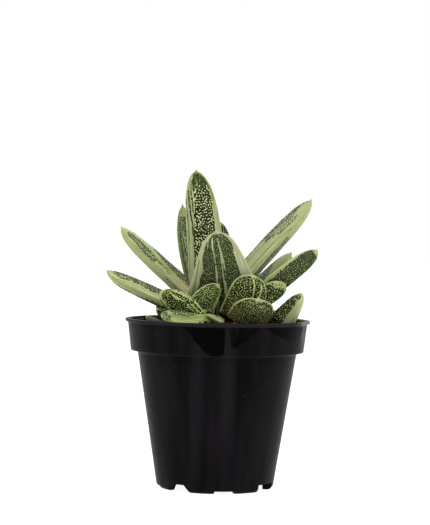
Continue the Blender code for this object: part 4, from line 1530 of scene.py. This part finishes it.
def crumbs_tree():
    tree, given = new_tree("crumbs", "Soil", {
        "Spacing": "Float", "Seed": "Int", "Shapes": "Collection", "Peat": "Material"})
    spread = strewn_points(tree, given, "Soil", "open", 0.5)
    shapes = add(tree, "GeometryNodeCollectionInfo", {
        "Collection": given["Shapes"], "Separate Children": True, "Reset Children": True})
    least, more = CRUMB_SIZES
    size = calc(tree, "POWER", chance(tree, 0.0, 1.0, seed=1), CRUMB_RARITY)
    stones = add(tree, "GeometryNodeInstanceOnPoints", {
        "Points": spread["Points"], "Instance": shapes, "Pick Instance": True,
        "Rotation": chance(tree, (0, 0, 0), (2 * math.pi,) * 3, kind="FLOAT_VECTOR"),
        "Scale": calc(tree, "MULTIPLY_ADD", size, more, least)})
    tint = chance(tree, 0.0, 1.0, seed=2)
    real = joined_copies(tree, stones, given["Soil"], "tint", tint, "FLOAT")
    coloured = add(tree, "GeometryNodeSetMaterial", {"Geometry": real, "Material": given["Peat"]})
    add(tree, "NodeGroupOutput", {"Soil": coloured})
    return tree


def is_open(place):
    return place.z > TOP_Z and math.hypot(place.x, place.y) <= SOIL_RADIUS * MM - RIM_MARGIN


store(body.data, "open", "FLOAT", [is_open(vertex.co) for vertex in body.data.vertices])
print("soil", run_tree(body, crumbs_tree(), {
    "Spacing": CRUMB_SPACING, "Seed": CRUMB_SEED, "Shapes": crumb_shapes, "Peat": peat}), "faces")
discard(crumb_shapes)
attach(body, "root")
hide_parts("soil")

# %% [markdown]
# The stems hardly show. They keep the solids of the part and get the papery brown of old leaf
# bases.

# %% Stems
def stem_bark():
    made, tree, shader = new_material("stem_bark", Roughness=0.8)
    rings = lumps(tree, place_in_piece(tree, 300.0, 300.0, 1500.0), 1.0)
    dress(tree, shader, blend(tree, rings, "#5b4a2c", "#8b7a4e"), rings, 0.4, 0.2 * MM)
    return made


bark = stem_bark()
stems = [node for name, node in frame["nodes"].items() if name.startswith("stem_")]
for stem in stems:
    for slot in stem.material_slots:
        slot.material = bark
print(len(stems), "stems")

# %% [markdown]
# A white studio: a pale floor, a bright sky that is dimmer behind the camera, so that the black pot
# has something dark to reflect, and two soft panels, one high on the left and one high on the
# right. The floor gives light of its own, so that it stays white up to the horizon.

# %% Floor, sky and lights
WHITE = (1.0, 1.0, 1.0, 1.0)
FLOOR_SIZE = 6.0  # metres from the middle to each side
PANEL_SIZE = 0.6  # metres


def make_floor():
    made, _, _ = new_material(
        "floor_white", Roughness=0.9, Specular_IOR_Level=0.0, Base_Color=(0.3, 0.3, 0.3, 1.0),
        Emission_Color=WHITE, Emission_Strength=0.92)
    corners = [(x * FLOOR_SIZE, y * FLOOR_SIZE, 0) for x, y in ((-1, -1), (1, -1), (1, 1), (-1, 1))]
    floor = mesh_piece("floor", corners, [(0, 1, 2, 3)], made)


def make_sky():
    world = bpy.data.worlds.new("studio")
    bpy.context.scene.world = world
    world.use_nodes = True
    tree = world.node_tree
    coords = add(tree, "ShaderNodeTexCoord").outputs["Generated"]
    ahead = add(tree, "ShaderNodeSeparateXYZ", {"Vector": coords}).outputs["Y"]
    background = tree.nodes["Background"].inputs
    plug(tree, background["Color"], WHITE)
    plug(tree, background["Strength"], remap(tree, ahead, -0.9, -0.1, 0.6, 1.0))


def panel(name, place, power):
    """A square lamp that looks at the middle of the object."""
    light = bpy.data.lights.new(name, "AREA")
    light.shape = "RECTANGLE"
    light.size = light.size_y = PANEL_SIZE
    light.energy = power
    lamp = bpy.data.objects.new(name, light)
    bpy.context.scene.collection.objects.link(lamp)
    lamp.location = place
    lamp.rotation_euler = (Vector((0, 0, 0.1)) - Vector(place)).to_track_quat("-Z", "Y").to_euler()


make_floor()
make_sky()
panel("panel_left", (-0.7, -0.5, 1.1), 6.4)
panel("panel_right", (0.8, -0.5, 1.0), 9.0)
